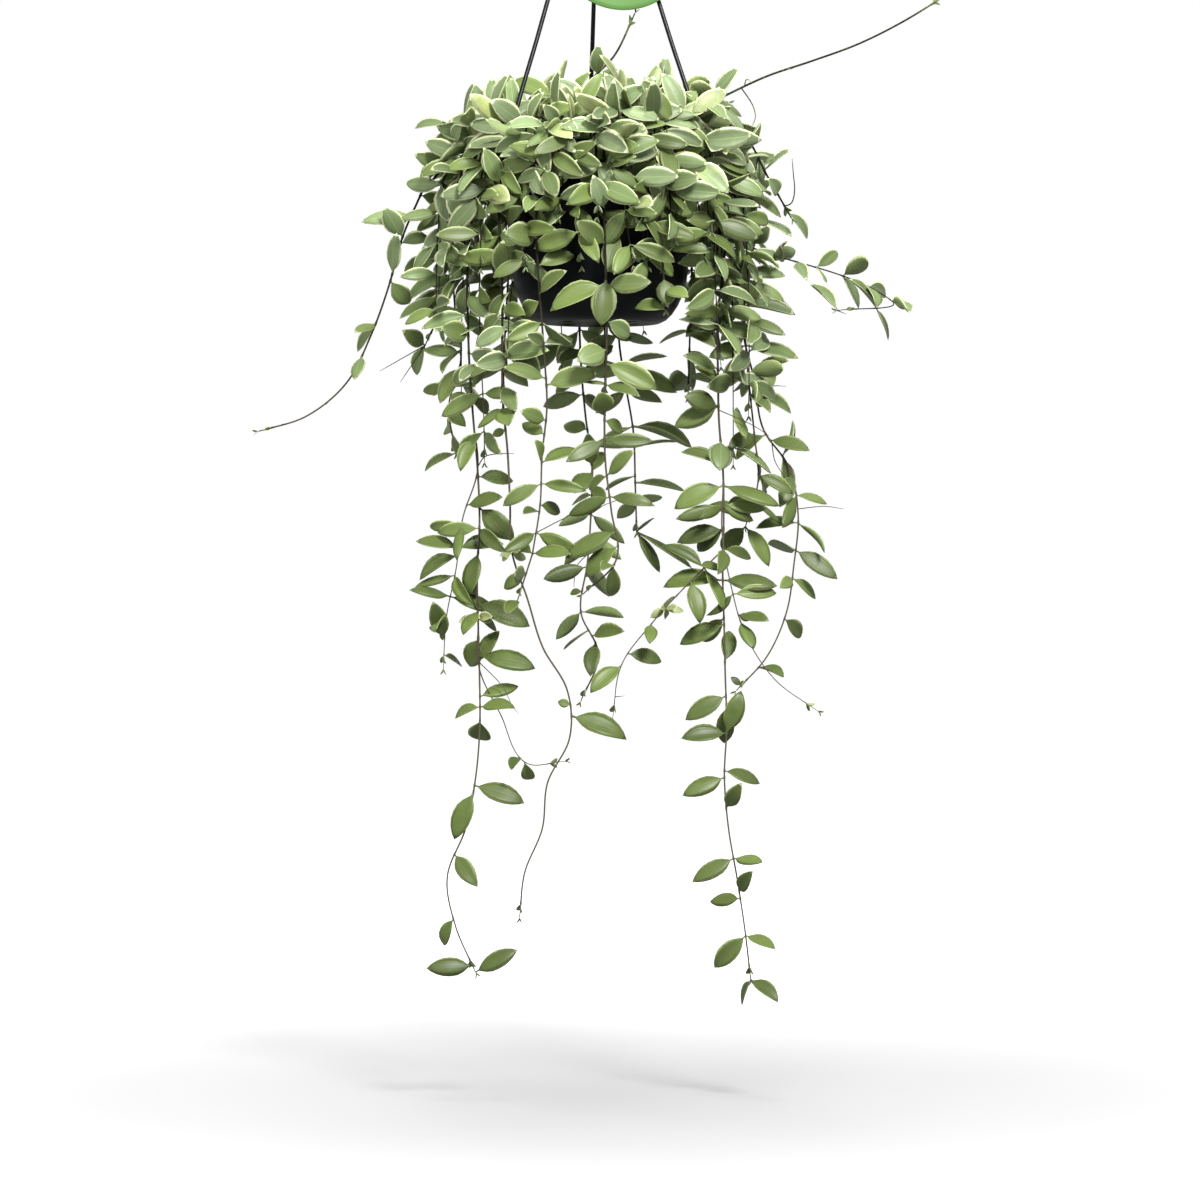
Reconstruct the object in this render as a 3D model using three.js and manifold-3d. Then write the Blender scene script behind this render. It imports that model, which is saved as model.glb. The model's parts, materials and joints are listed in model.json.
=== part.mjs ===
// Potted variegated dischidia in a hanging pot, in millimetres, with +Z up.
// The origin is the point of the hook that bears on whatever the pot hangs from. +X is to the right
// and +Y away from someone who looks at the front. Stems and leaves are given from the middle of the rim.
import * as THREE from 'three';
import { mergeVertices } from 'three/addons/utils/BufferGeometryUtils.js';
import Module from 'manifold-3d';

const wasm = await Module();
wasm.setup();

// Driving dimensions
const RIM_DROP = 288;
const COLLAR_RISE = 250;
const LIP_RADIUS = 77;
const LIP_HEIGHT = 8;
const POT_SIDES = 24;
const SEAT_GAP = 0.3;
const HOOK_WIRE = 2;
const HOOK_LOOP = 12;
const ROD_RADIUS = 1.6;
const ROD_STEPS = 13;
const ROD_AZIMUTHS = { right: -24, left: -144, back: 96 };
const COLLAR_RADIUS = 9;
const TAG_RADIUS = 50;
const TAG_THICKNESS = 1.2;
const SOIL_TOP = -12;
const HOLE_DEPTH = 16;
const HOLE_RADIUS = 2.1;
const STEM_RADIUS = 1.15;
const BRANCH_RADIUS = 0.85;
const STEM_STEP = 36;
const STEM_GAP = 0.35;
const LEAF_GAP = 0.3;

const POT_LIP = [
  [LIP_RADIUS - 0.6, -LIP_HEIGHT], [LIP_RADIUS, -LIP_HEIGHT + 1], [LIP_RADIUS, -1], [LIP_RADIUS - 1, 0], [71, 0],
];
const POT_OUTER = [[42, -125], [52, -118], [59, -106], [62.5, -94], [71.5, -8]];
const POT_INNER = [[69.9, -8], [60.9, -94], [57.5, -105.3], [51, -116.7], [41.7, -123.3]];
const SOIL_SIDE = [[41.2, -122.9], [50.4, -116.3], [56.9, -104.9], [60.2, -93.8], [68.3, -17]];
const SOIL_CROWN = [[58, -14], [30, SOIL_TOP + 1]];

const COLOURS = {
  pot: 0x17181b, soil: 0x3a2b20, hanger: 0x101113, tag: 0x86bc6a, leaf: 0x7f9a62,
};

// Seeded random numbers, so that every build is the same
function seededRandom(seed) {
  let state = seed;
  return () => {
    state = (state + 0x6d2b79f5) | 0;
    let t = Math.imul(state ^ (state >>> 15), 1 | state);
    t = (t + Math.imul(t ^ (t >>> 7), 61 | t)) ^ t;
    return ((t ^ (t >>> 14)) >>> 0) / 4294967296;
  };
}

const radians = THREE.MathUtils.degToRad;
const vector = (x, y, z) => new THREE.Vector3(x, y, z);
const UP = vector(0, 0, 1);
const TO_VIEWER = vector(0, -1, 0);

// A closed solid from a geometry, and a geometry from a solid
function solidOf(geometry) {
  geometry.deleteAttribute('normal');
  geometry.deleteAttribute('uv');
  const merged = mergeVertices(geometry, 1e-4);
  return new wasm.Manifold(new wasm.Mesh({
    numProp: 3,
    vertProperties: new Float32Array(merged.attributes.position.array),
    triVerts: new Uint32Array(merged.index.array),
  }));
}

function geometryOf(solid) {
  const { vertProperties, triVerts } = solid.getMesh();
  const geometry = new THREE.BufferGeometry();
  geometry.setAttribute('position', new THREE.BufferAttribute(vertProperties, 3));
  geometry.setIndex(new THREE.BufferAttribute(triVerts, 1));
  return geometry;
}

function named(name, geometry, material) {
  const mesh = new THREE.Mesh(geometry, material);
  mesh.name = name;
  return mesh;
}

const finish = (color, roughness) => new THREE.MeshStandardMaterial({ color, roughness, metalness: 0 });

// A solid of revolution about the pot's axis, from a profile of [radius, height] that runs up its outside
function turned(profile, sides = POT_SIDES) {
  const points = profile.map(([radius, height]) => new THREE.Vector2(radius, height));
  return new THREE.LatheGeometry(points, sides).rotateX(Math.PI / 2);
}

// A line in straight lengths, with a section across each corner
class CorneredLine extends THREE.Curve {
  constructor(corners) {
    super();
    this.corners = corners;
  }

  getSpacedPoints() {
    return this.corners;
  }

  getTangentAt(share, target = new THREE.Vector3()) {
    const last = this.corners.length - 1;
    const i = Math.round(share * last);
    return target.subVectors(this.corners[Math.min(i + 1, last)], this.corners[Math.max(i - 1, 0)]).normalize();
  }
}

const smoothLine = (points) => new THREE.CatmullRomCurve3(points, false, 'centripetal');

function corneredTube(corners, radius, sides) {
  const shape = new THREE.Shape();
  for (let i = 0; i < sides; i += 1) {
    const angle = (i / sides) * Math.PI * 2;
    shape[i ? 'lineTo' : 'moveTo'](radius * Math.cos(angle), radius * Math.sin(angle));
  }
  const extrudePath = new CorneredLine(corners);
  return new THREE.ExtrudeGeometry(shape, { steps: corners.length - 1, extrudePath, bevelEnabled: false });
}

const tube = (points, radius, steps, sides) => (
  corneredTube(smoothLine(points).getSpacedPoints(steps), radius, sides)
);

function polar(radius, azimuth, height) {
  return vector(radius * Math.cos(radians(azimuth)), radius * Math.sin(radians(azimuth)), height);
}

// The pot: a thin moulded shell with a turned-out lip and drainage holes
function pot() {
  const profile = [[0, -125], ...POT_OUTER, ...POT_LIP, ...POT_INNER, [0, -123.3]];
  let shell = solidOf(turned(profile));
  for (let i = 0; i < 6; i += 1) {
    const hole = new THREE.CylinderGeometry(4, 4, 6, 8).rotateX(Math.PI / 2);
    const place = polar(27, i * 60 + 30, -124);
    shell = shell.subtract(solidOf(hole.translate(place.x, place.y, place.z)));
  }
  return named('pot', geometryOf(shell), finish(COLOURS.pot, 0.35));
}

// The growing medium fills the pot and has a plain hole for each stem
function soil(roots) {
  let body = solidOf(turned([[0, -122.9], ...SOIL_SIDE, ...SOIL_CROWN, [0, SOIL_TOP + 3]]));
  for (const { x, y } of roots) {
    const hole = new THREE.CylinderGeometry(HOLE_RADIUS, HOLE_RADIUS, HOLE_DEPTH * 2, 4);
    hole.rotateX(Math.PI / 2).translate(x, y, SOIL_TOP);
    body = body.subtract(solidOf(hole));
  }
  return named('soil', geometryOf(body), finish(COLOURS.soil, 0.95));
}

// The hook: a round wire loop, open on the left, over a collar that gathers the rods
function hook() {
  const middle = RIM_DROP - HOOK_LOOP;
  const bend = HOOK_LOOP + HOOK_WIRE;
  const points = [vector(0, 0, COLLAR_RISE + 4), vector(0, 0, COLLAR_RISE + 12)];
  for (let angle = -60; angle <= 210; angle += 30) {
    points.push(vector(bend * Math.cos(radians(angle)), 0, middle + bend * Math.sin(radians(angle))));
  }
  const wire = solidOf(tube(points, HOOK_WIRE, 20, 6));
  const collar = [[0, -5], [COLLAR_RADIUS - 2, -5], [COLLAR_RADIUS, -3], [COLLAR_RADIUS, 3], [5, 6], [0, 6]];
  const body = solidOf(turned(collar, 12)).translate([0, 0, COLLAR_RISE]);
  return wire.add(body);
}

// Each rod bows out from its seat under the collar to the rim, and its clip grips the rim's lip from outside
const ROD_OUT = LIP_RADIUS + SEAT_GAP + ROD_RADIUS;

function rodPoints(azimuth) {
  return [
    polar(4.2, azimuth, COLLAR_RISE - 5.7 - SEAT_GAP), polar(12, azimuth, COLLAR_RISE - 30), polar(33, azimuth, 145),
    polar(54, azimuth, 80), polar(70, azimuth, 34), polar(ROD_OUT, azimuth, 5),
  ];
}

function rod(azimuth) {
  const foot = LIP_HEIGHT + SEAT_GAP;
  const post = new THREE.CylinderGeometry(ROD_RADIUS, ROD_RADIUS, foot + 9, 8).rotateX(Math.PI / 2);
  post.translate(ROD_OUT, 0, 3 - foot / 2);
  const toe = new THREE.BoxGeometry(ROD_OUT + 1.4 - 73.6, 4, 3).translate((ROD_OUT + 1.4 + 73.6) / 2, 0, -foot - 1.5);
  const clip = solidOf(post).add(solidOf(toe)).rotate([0, 0, azimuth]);
  return solidOf(tube(rodPoints(azimuth), ROD_RADIUS, ROD_STEPS, 6)).add(clip);
}

// The round tag stands in front of the right rod, with its face bare and a clip round the rod
const TAG_CENTRE = vector(17, -26, 147);

function tag(carrier) {
  const disc = new THREE.CylinderGeometry(TAG_RADIUS, TAG_RADIUS, TAG_THICKNESS, 32);
  const clip = new THREE.BoxGeometry(9, 18, 10).translate(13.9, 8.5, -6);
  const body = solidOf(disc).add(solidOf(clip)).translate(TAG_CENTRE.toArray());
  return body.subtract(solidOf(tube(carrier, ROD_RADIUS + SEAT_GAP, ROD_STEPS, 6)));
}

// What already stands in the way of a new stem or leaf
const placed = [];

function boxOf(points, margin) {
  return new THREE.Box3().setFromPoints(points).expandByScalar(margin);
}

function meets(a, b) {
  const shared = a.intersect(b);
  const hit = !shared.isEmpty();
  shared.delete();
  return hit;
}

function isClear(solid, box, ignores) {
  return placed.every((other) => ignores(other)
    || !other.boxes.some((part) => part.intersectsBox(box)) || !meets(solid, other.solid));
}

// The pot and its filling, as a radius for each height, keep stems and leaves outside
function potRadius(height) {
  if (height > 2 || height < -127) return 0;
  if (height > -LIP_HEIGHT - 2) return LIP_RADIUS + 1;
  for (let i = 1; i < POT_OUTER.length; i += 1) {
    const [r0, z0] = POT_OUTER[i - 1];
    const [r1, z1] = POT_OUTER[i];
    if (height <= z1) return THREE.MathUtils.mapLinear(Math.max(height, z0), z0, z1, r0, r1) + 1;
  }
  return LIP_RADIUS;
}

function outsidePot(points) {
  return points.every(({ x, y, z }) => {
    const radius = Math.hypot(x, y);
    const overSoil = z > -6 && radius < 66;
    return overSoil || radius > potRadius(z);
  });
}

// A leaf is a strip of three-cornered sections, left edge, right edge and keel, that ends in a point.
// Each section is [share of the length, half width, thickness]: the stalk's in millimetres, then the
// blade's half width as a share of its widest. A narrow leaf has fewer sections than a broad one.
const STALK_ROOT = [0, 0.3, 0.45];
const STALK_END = [0.14, 0.8, 1];
const BROAD_BLADE = [[0.38, 0.94, 1.4], [0.77, 0.86, 1.2]];
const NARROW_BLADE = [0.5, 1, 1.2];

function sectionsFor(width) {
  if (width > 13) return [STALK_ROOT, STALK_END, ...BROAD_BLADE];
  return width > 8 ? [STALK_ROOT, ...BROAD_BLADE] : [STALK_ROOT, NARROW_BLADE];
}

function leafPoints({ root, tip, normal, width, bow }, grow = 0) {
  const along = tip.clone().sub(root);
  const length = along.length();
  along.normalize();
  const up = normal.clone().addScaledVector(along, -normal.dot(along)).normalize();
  const side = along.clone().cross(up);
  const points = [];
  sectionsFor(width).forEach((section) => {
    const [share, half, thick] = section;
    const isStalk = section === STALK_ROOT || section === STALK_END;
    const reach = (isStalk ? half : half * width / 2) + grow;
    const middle = root.clone().addScaledVector(along, length * share)
      .addScaledVector(up, bow * length * 4 * share * (1 - share) + grow + (isStalk ? thick / 2 : 0));
    const lift = isStalk ? 0 : reach * 0.16;
    points.push(middle.clone().addScaledVector(side, -reach).addScaledVector(up, lift));
    points.push(middle.clone().addScaledVector(side, reach).addScaledVector(up, lift));
    points.push(middle.clone().addScaledVector(up, -thick - 2 * grow));
  });
  points.push(tip.clone().addScaledVector(along, grow));
  return points;
}

function leafSolid(points) {
  const faces = [[0, 2, 1]];
  const sections = (points.length - 1) / 3;
  for (let i = 0; i < sections - 1; i += 1) {
    const [l, r, k] = [3 * i, 3 * i + 1, 3 * i + 2];
    const [nl, nr, nk] = [l + 3, r + 3, k + 3];
    faces.push([l, r, nr], [l, nr, nl], [l, nl, nk], [l, nk, k], [k, nk, nr], [k, nr, r]);
  }
  const [l, r, k, point] = [3 * sections - 3, 3 * sections - 2, 3 * sections - 1, 3 * sections];
  faces.push([l, r, point], [l, point, k], [k, point, r]);
  return new wasm.Manifold(new wasm.Mesh({
    numProp: 3,
    vertProperties: new Float32Array(points.flatMap((p) => p.toArray())),
    triVerts: new Uint32Array(faces.flat()),
  }));
}

// Small changes that are tried in turn until a leaf is clear: [depth of tip, turn in degrees, size]
const LEAF_CHANGES = [
  [0, 0, 1], [5, 0, 1], [-5, 0, 1], [0, 20, 1], [0, -20, 1], [9, 15, 0.95], [-9, -15, 0.95], [13, 0, 0.9],
  [-13, 0, 0.9], [6, 35, 0.85], [-6, -35, 0.85], [17, 20, 0.8], [-17, -20, 0.8], [0, 0, 0.7], [8, 0, 0.65],
  [-8, 0, 0.65],
];

function growLeaf(owner, leaf) {
  for (const [depth, turn, size] of LEAF_CHANGES) {
    const reach = leaf.tip.clone().sub(leaf.root).add(leaf.sway.clone().multiplyScalar(depth));
    reach.setLength(leaf.tip.distanceTo(leaf.root) * size);
    const tried = {
      ...leaf,
      tip: leaf.root.clone().add(reach),
      width: leaf.width * size,
      normal: leaf.normal.clone().applyAxisAngle(reach.clone().normalize(), radians(turn)),
    };
    const grown = leafPoints(tried, LEAF_GAP);
    if (!outsidePot(grown.slice(3))) continue;
    const whole = leafSolid(grown);
    const blade = leafSolid(grown.slice(3));
    const box = boxOf(grown, 0.1);
    const clear = isClear(whole, box, (other) => other.owner === owner)
      && isClear(blade, box, (other) => other.owner !== owner);
    whole.delete();
    blade.delete();
    if (!clear) continue;
    const points = leafPoints(tried);
    placed.push({ owner, root: leaf.root, solid: leafSolid(points), boxes: [boxOf(points, 0)] });
    return;
  }
}

// A strand is one stretch of stem: a three-sided tube in straight lengths along a smooth line.
// A rooted one starts with an upright length in its hole.
function strandCorners(line) {
  const rooted = line[0].z < SOIL_TOP && line[0].x === line[1].x && line[0].y === line[1].y;
  const curve = smoothLine(rooted ? line.slice(1) : line);
  const corners = curve.getSpacedPoints(Math.max(3, Math.round(curve.getLength() / STEM_STEP)));
  return rooted ? [line[0], ...corners] : corners;
}

const strandSolid = (line, radius) => solidOf(corneredTube(strandCorners(line), radius, 3));

// Points on the axes of a strand's straight lengths, about 3 mm apart, where leaves can stand
function strandPoints(line) {
  const corners = strandCorners(line);
  const points = [corners[0]];
  for (let i = 1; i < corners.length; i += 1) {
    for (let k = 1; k <= 7; k += 1) points.push(corners[i - 1].clone().lerp(corners[i], k / 7));
  }
  return points;
}

function placeStrand(owner, line, radius) {
  const points = strandPoints(line);
  const boxes = points.slice(1).map((p, i) => boxOf([points[i], p], radius));
  placed.push({ owner, stem: true, line: points, solid: strandSolid(line, radius), boxes });
  return points;
}

function strandIsClear(owner, line, radius) {
  const points = strandPoints(line);
  const free = points.filter((p) => p.z > -6 || Math.hypot(p.x, p.y) > 66);
  if (!outsidePot(free)) return false;
  const test = strandSolid(line, radius + STEM_GAP);
  const box = boxOf(points, radius + STEM_GAP);
  const clear = isClear(test, box, (other) => other.owner === owner);
  test.delete();
  return clear;
}

// Every stem rises from its root, crosses the rim at an azimuth and follows its route of [x, z] outside.
// depth is how far in front of the pot's axis (minus) or behind it the route runs, from top to end.
function hangingLine({ azimuth, root, rise, route, depth }, shift) {
  const base = polar(root, azimuth, 0);
  const edge = polar(LIP_RADIUS + 5, azimuth, rise);
  const line = [
    vector(base.x, base.y, SOIL_TOP - HOLE_DEPTH + 2), vector(base.x, base.y, SOIL_TOP + 6),
    base.clone().lerp(edge, 0.45).setZ(rise + 9), edge,
  ];
  route.forEach(([x, z], i) => {
    const share = i / Math.max(1, route.length - 1);
    line.push(vector(x, THREE.MathUtils.lerp(depth[0], depth[1], share) + shift, z));
  });
  return line;
}

function nearestOn(line, x, z) {
  const off = (p) => Math.hypot(p.x - x, p.z - z) + (p.z > -8 && Math.hypot(p.x, p.y) < 66 ? 20 : 0);
  return line.reduce((best, p) => (off(p) < off(best) ? p : best));
}

// A leaf that is drawn from the front: [x, z] of the blade's foot, [x, z] of its tip and the width that shows.
// What its outline doesn't show of its length and width goes into its depth and its turn.
function drawnLeaf(line, [x0, z0, x1, z1, shown], index) {
  const root = nearestOn(line, x0, z0);
  const seen = Math.hypot(x1 - root.x, z1 - root.z);
  const length = seen < 11 ? seen : Math.max(seen, 0.55 * seen + 15);
  const away = Math.sqrt(Math.max(0, length * length - seen * seen)) * (index % 2 ? 0.9 : -1);
  const width = THREE.MathUtils.clamp(Math.max(shown, 0.4 * length), 4, 17);
  const turn = Math.acos(Math.min(1, shown / width)) * (index % 3 ? 1 : 0.8);
  const normal = TO_VIEWER.clone().multiplyScalar(Math.cos(turn)).addScaledVector(UP, Math.sin(turn));
  normal.addScaledVector(UP, 0.12);
  return {
    root, tip: vector(x1, root.y + away, z1), normal: normal.normalize(), width, bow: 0.06,
    sway: vector(0, 1, 0),
  };
}

const DEPTH_SHIFTS = [0, 3, -3, 6, -6, 9, -9, 12, -12, 16, -16, 20, -20];

function clearLine(owner, radius, lineFor) {
  const shift = DEPTH_SHIFTS.find((s) => strandIsClear(owner, lineFor(s), radius));
  return shift === undefined ? null : lineFor(shift);
}

// A drawn stem, with its branches
function drawnStem(name, stem) {
  const strands = [];
  const line = clearLine(name, STEM_RADIUS, (shift) => hangingLine(stem, shift));
  if (!line) return;
  strands.push({ line: placeStrand(name, line, STEM_RADIUS), leaves: stem.leaves });
  for (const branch of stem.branches ?? []) {
    const start = nearestOn(strands[0].line, ...branch.route[0]);
    const branchLine = (shift) => branch.route.map(([x, z], i) => {
      const share = i / (branch.route.length - 1);
      return i ? vector(x, start.y + (branch.depth + shift) * Math.min(1, share * 2), z) : start.clone();
    });
    const route = clearLine(name, BRANCH_RADIUS, branchLine);
    if (route) strands.push({ line: placeStrand(name, route, BRANCH_RADIUS), leaves: branch.leaves });
  }
  return { name, strands };
}

// The stems that are drawn from the front, in millimetres from the middle of the rim
const DRAWN = {
  stem_right_long: {
    azimuth: -12, root: 50, rise: 9, depth: [-22, -14],
    route: [
      [89, -40], [91, -73], [84, -104], [85, -140], [84, -169], [85, -194], [88, -232], [89, -252], [88, -281],
      [88, -324], [90, -367], [89, -396], [91, -421], [89, -446], [91, -474], [94, -505], [101, -536],
      [104, -562], [108, -596],
    ],
    leaves: [
      [82, -18, 86, 10, 12], [86, -40, 75, -62, 11], [88, -33, 74, -46, 11], [84, -84, 63, -99, 12],
      [82, -96, 60, -112, 10], [81, -144, 62, -133, 8], [88, -158, 59, -150, 9], [88, -167, 68, -156, 8],
      [78, -186, 60, -179, 15], [84, -186, 53, -200, 14], [85, -213, 85, -232, 17], [78, -229, 58, -218, 7],
      [85, -245, 53, -259, 11.5], [99, -243, 129, -257, 8], [83, -271, 55, -283, 11], [84, -272, 70, -289, 10],
      [91, -301, 72, -300, 6.5], [81, -312, 45, -315, 10], [95, -311, 127, -314, 8], [94, -335, 74, -354, 10],
      [88, -341, 57, -356, 10], [95, -367, 93, -346, 10], [86, -396, 61, -410, 11],
      [89, -398, 89, -431, 10], [83, -420, 58, -423, 10], [96, -418, 101, -389, 11], [86, -449, 59, -464, 10],
      [98, -446, 115, -456, 6], [96, -473, 101, -454, 10], [89, -510, 66, -526, 8],
      [102, -505, 116, -511, 8], [94, -539, 79, -541, 10], [103, -534, 109, -517, 9], [99, -565, 82, -588, 11],
      [111, -564, 125, -573, 8], [104, -599, 102, -616, 6.5], [109, -597, 127, -611, 9],
    ],
    branches: [
      {
        route: [
          [86, -238], [84, -258], [91, -290], [93, -310], [96, -331], [104, -349], [117, -369], [125, -381],
          [137, -392], [145, -400], [155, -403],
        ],
        depth: -9,
        leaves: [
          [104, -329, 120, -339, 8], [96, -334, 108, -338, 6], [97, -339, 109, -359, 6],
        ],
      },
      {
        route: [
          [88, -289], [81, -296], [70, -306], [58, -317], [50, -324], [40, -337], [29, -349], [17, -361],
          [15, -371], [11, -387], [9, -395], [9, -408],
        ],
        depth: -22,
        leaves: [
          [67, -312, 71, -341, 8], [46, -317, 42, -333, 6.5], [38, -341, 35, -355, 5], [18, -361, 44, -368, 10],
          [11, -367, -7, -390, 8],
        ],
      },
    ],
  },
  stem_right_drop: {
    azimuth: -2, root: 36, rise: 8, depth: [0, 8],
    route: [
      [96, -30], [104, -70], [104, -105], [105, -140], [108, -174], [111, -202], [113, -223], [114, -238],
      [113, -252], [110, -263], [105, -271],
    ],
    leaves: [
      [104, -140, 78, -150, 11.5], [104, -144, 89, -171, 12], [109, -141, 143, -150, 10], [95, -181, 127, -160, 7],
      [111, -176, 122, -190, 9], [103, -221, 114, -241, 6.5], [104, -204, 92, -214, 10], [104, -266, 77, -256, 9],
      [109, -271, 122, -300, 10], [102, -272, 88, -287, 13], [98, -60, 84, -74, 12], [104, -104, 96, -84, 10],
    ],
  },
  stem_right_outer: {
    azimuth: 22, root: 47, rise: 12, depth: [26, 30],
    route: [
      [100, -8], [112, -36], [112, -65], [106, -88], [101, -115], [107, -140], [111, -158], [115, -180],
      [121, -207], [133, -222], [138, -229], [141, -243], [144, -261], [143, -274], [142, -289], [140, -304],
      [137, -315], [135, -336], [131, -345], [122, -364], [113, -378], [109, -386], [99, -390],
    ],
    leaves: [
      [107, -73, 102, -46, 13], [107, -72, 89, -90, 11], [113, -67, 123, -53, 10], [120, -65, 127, -79, 5],
      [104, -108, 117, -89, 13], [114, -90, 135, -88, 10], [99, -112, 81, -101, 10], [106, -110, 142, -117, 9.5],
      [95, -115, 71, -132, 12], [102, -114, 112, -130, 6.5], [112, -158, 137, -151, 9], [113, -160, 103, -176, 8],
      [123, -207, 152, -216, 11], [113, -207, 99, -222, 8], [133, -236, 130, -257, 10],
      [134, -339, 147, -351, 11],
      [116, -376, 133, -380, 6], [101, -388, 95, -380, 5],
    ],
    branches: [
      {
        route: [
          [112, -72], [120, -80], [131, -96], [135, -99], [151, -111], [166, -114], [181, -114], [192, -113],
          [197, -110], [211, -107],
        ],
        depth: -8,
        leaves: [[138, -97, 149, -94, 6], [155, -108, 153, -94, 8.5]],
      },
    ],
  },
  stem_right_upper: {
    azimuth: 8, root: 60, rise: 15, depth: [6, 2],
    route: [[104, 11], [112, 0], [120, -17], [126, -29], [133, -40], [138, -49]],
    leaves: [
      [92, 14, 84, -4, 10], [104, 10, 86, 22, 7], [124, -12, 137, -1, 7], [108, -8, 118, -22, 8],
      [120, -36, 120, -22, 11], [135, -46, 150, -63, 9],
    ],
  },
  runner_right: {
    azimuth: -45, root: 34, rise: 18, depth: [-52, -30],
    route: [
      [63, 18], [76, 25], [86, 32], [98, 39], [122, 49], [137, 53], [155, 61], [173, 67], [216, 88], [245, 106],
    ],
    leaves: [
      [55, 16, 22, 9, 16], [62, 22, 90, 37, 12], [60, 20, 44, 48, 13], [64, 18, 66, -6, 11], [76, 25, 88, 14, 8],
      [84, 30, 101, 20, 6],
    ],
  },
  runner_top: {
    azimuth: -100, root: 10, rise: 16, depth: [-22, -10],
    route: [[-7, 16], [-12, 30], [-10, 42], [-2, 52], [7, 61], [14, 73], [17, 83], [19, 92], [25, 97]],
    leaves: [
      [-2, 50, -1, 72, 10], [-8, 20, 22, 8, 11], [-11, 30, -36, 46, 11], [-10, 42, 12, 34, 10], [-4, 50, 14, 52, 6],
      [-11, 34, -2, 20, 12],
    ],
  },
  stem_left_long: {
    azimuth: 203, root: 50, rise: 10, depth: [-34, -22],
    route: [
      [-88, -36], [-94, -72], [-94, -101], [-94, -130], [-92, -175], [-89, -209], [-88, -224], [-86, -244],
      [-86, -274], [-87, -295], [-88, -317], [-87, -338], [-86, -371], [-86, -397], [-86, -423], [-88, -439],
      [-90, -464], [-94, -482], [-103, -503], [-109, -522], [-105, -530], [-102, -537], [-104, -551],
      [-102, -562], [-97, -575], [-89, -590],
    ],
    leaves: [
      [-76, -60, -107, -30, 17], [-78, -100, -99, -120, 11], [-77, -139, -113, -131, 15],
      [-90, -148, -73, -154, 11.5], [-94, -108, -80, -124, 10], [-70, -182, -107, -177, 9],
      [-90, -174, -75, -158, 7], [-91, -177, -80, -190, 9], [-92, -212, -99, -233, 11], [-88, -235, -62, -239, 10],
      [-84, -259, -61, -281, 15], [-84, -290, -94, -322, 5], [-79, -328, -50, -343, 14], [-87, -336, -74, -346, 8],
      [-92, -333, -97, -349, 6], [-88, -353, -94, -374, 14], [-73, -364, -46, -373, 11.5],
      [-76, -366, -72, -346, 8], [-72, -392, -53, -384, 8], [-86, -397, -104, -409, 7],
      [-81, -400, -60, -401, 6.5], [-83, -410, -85, -427, 16], [-98, -462, -104, -495, 14],
      [-84, -460, -54, -469, 11], [-107, -503, -87, -528, 11], [-107, -550, -112, -572, 9],
      [-97, -588, -124, -587, 13], [-86, -586, -59, -574, 11],
    ],
    branches: [
      {
        route: [
          [-88, -232], [-96, -256], [-99, -274], [-100, -288], [-104, -306], [-109, -322], [-110, -353], [-112, -373],
        ],
        depth: 9,
        leaves: [
          [-96, -253, -69, -251, 9], [-104, -287, -132, -282, 6], [-103, -289, -129, -310, 7],
          [-96, -287, -68, -284, 9], [-111, -320, -136, -317, 6.5], [-101, -323, -74, -333, 8],
          [-110, -350, -119, -325, 9], [-113, -361, -99, -372, 7],
        ],
      },
      {
        route: [
          [-86, -371], [-72, -403], [-65, -421], [-58, -433], [-47, -449], [-41, -450], [-32, -444], [-25, -439],
          [-18, -428], [-15, -414], [-14, -405],
        ],
        depth: 8,
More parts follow.
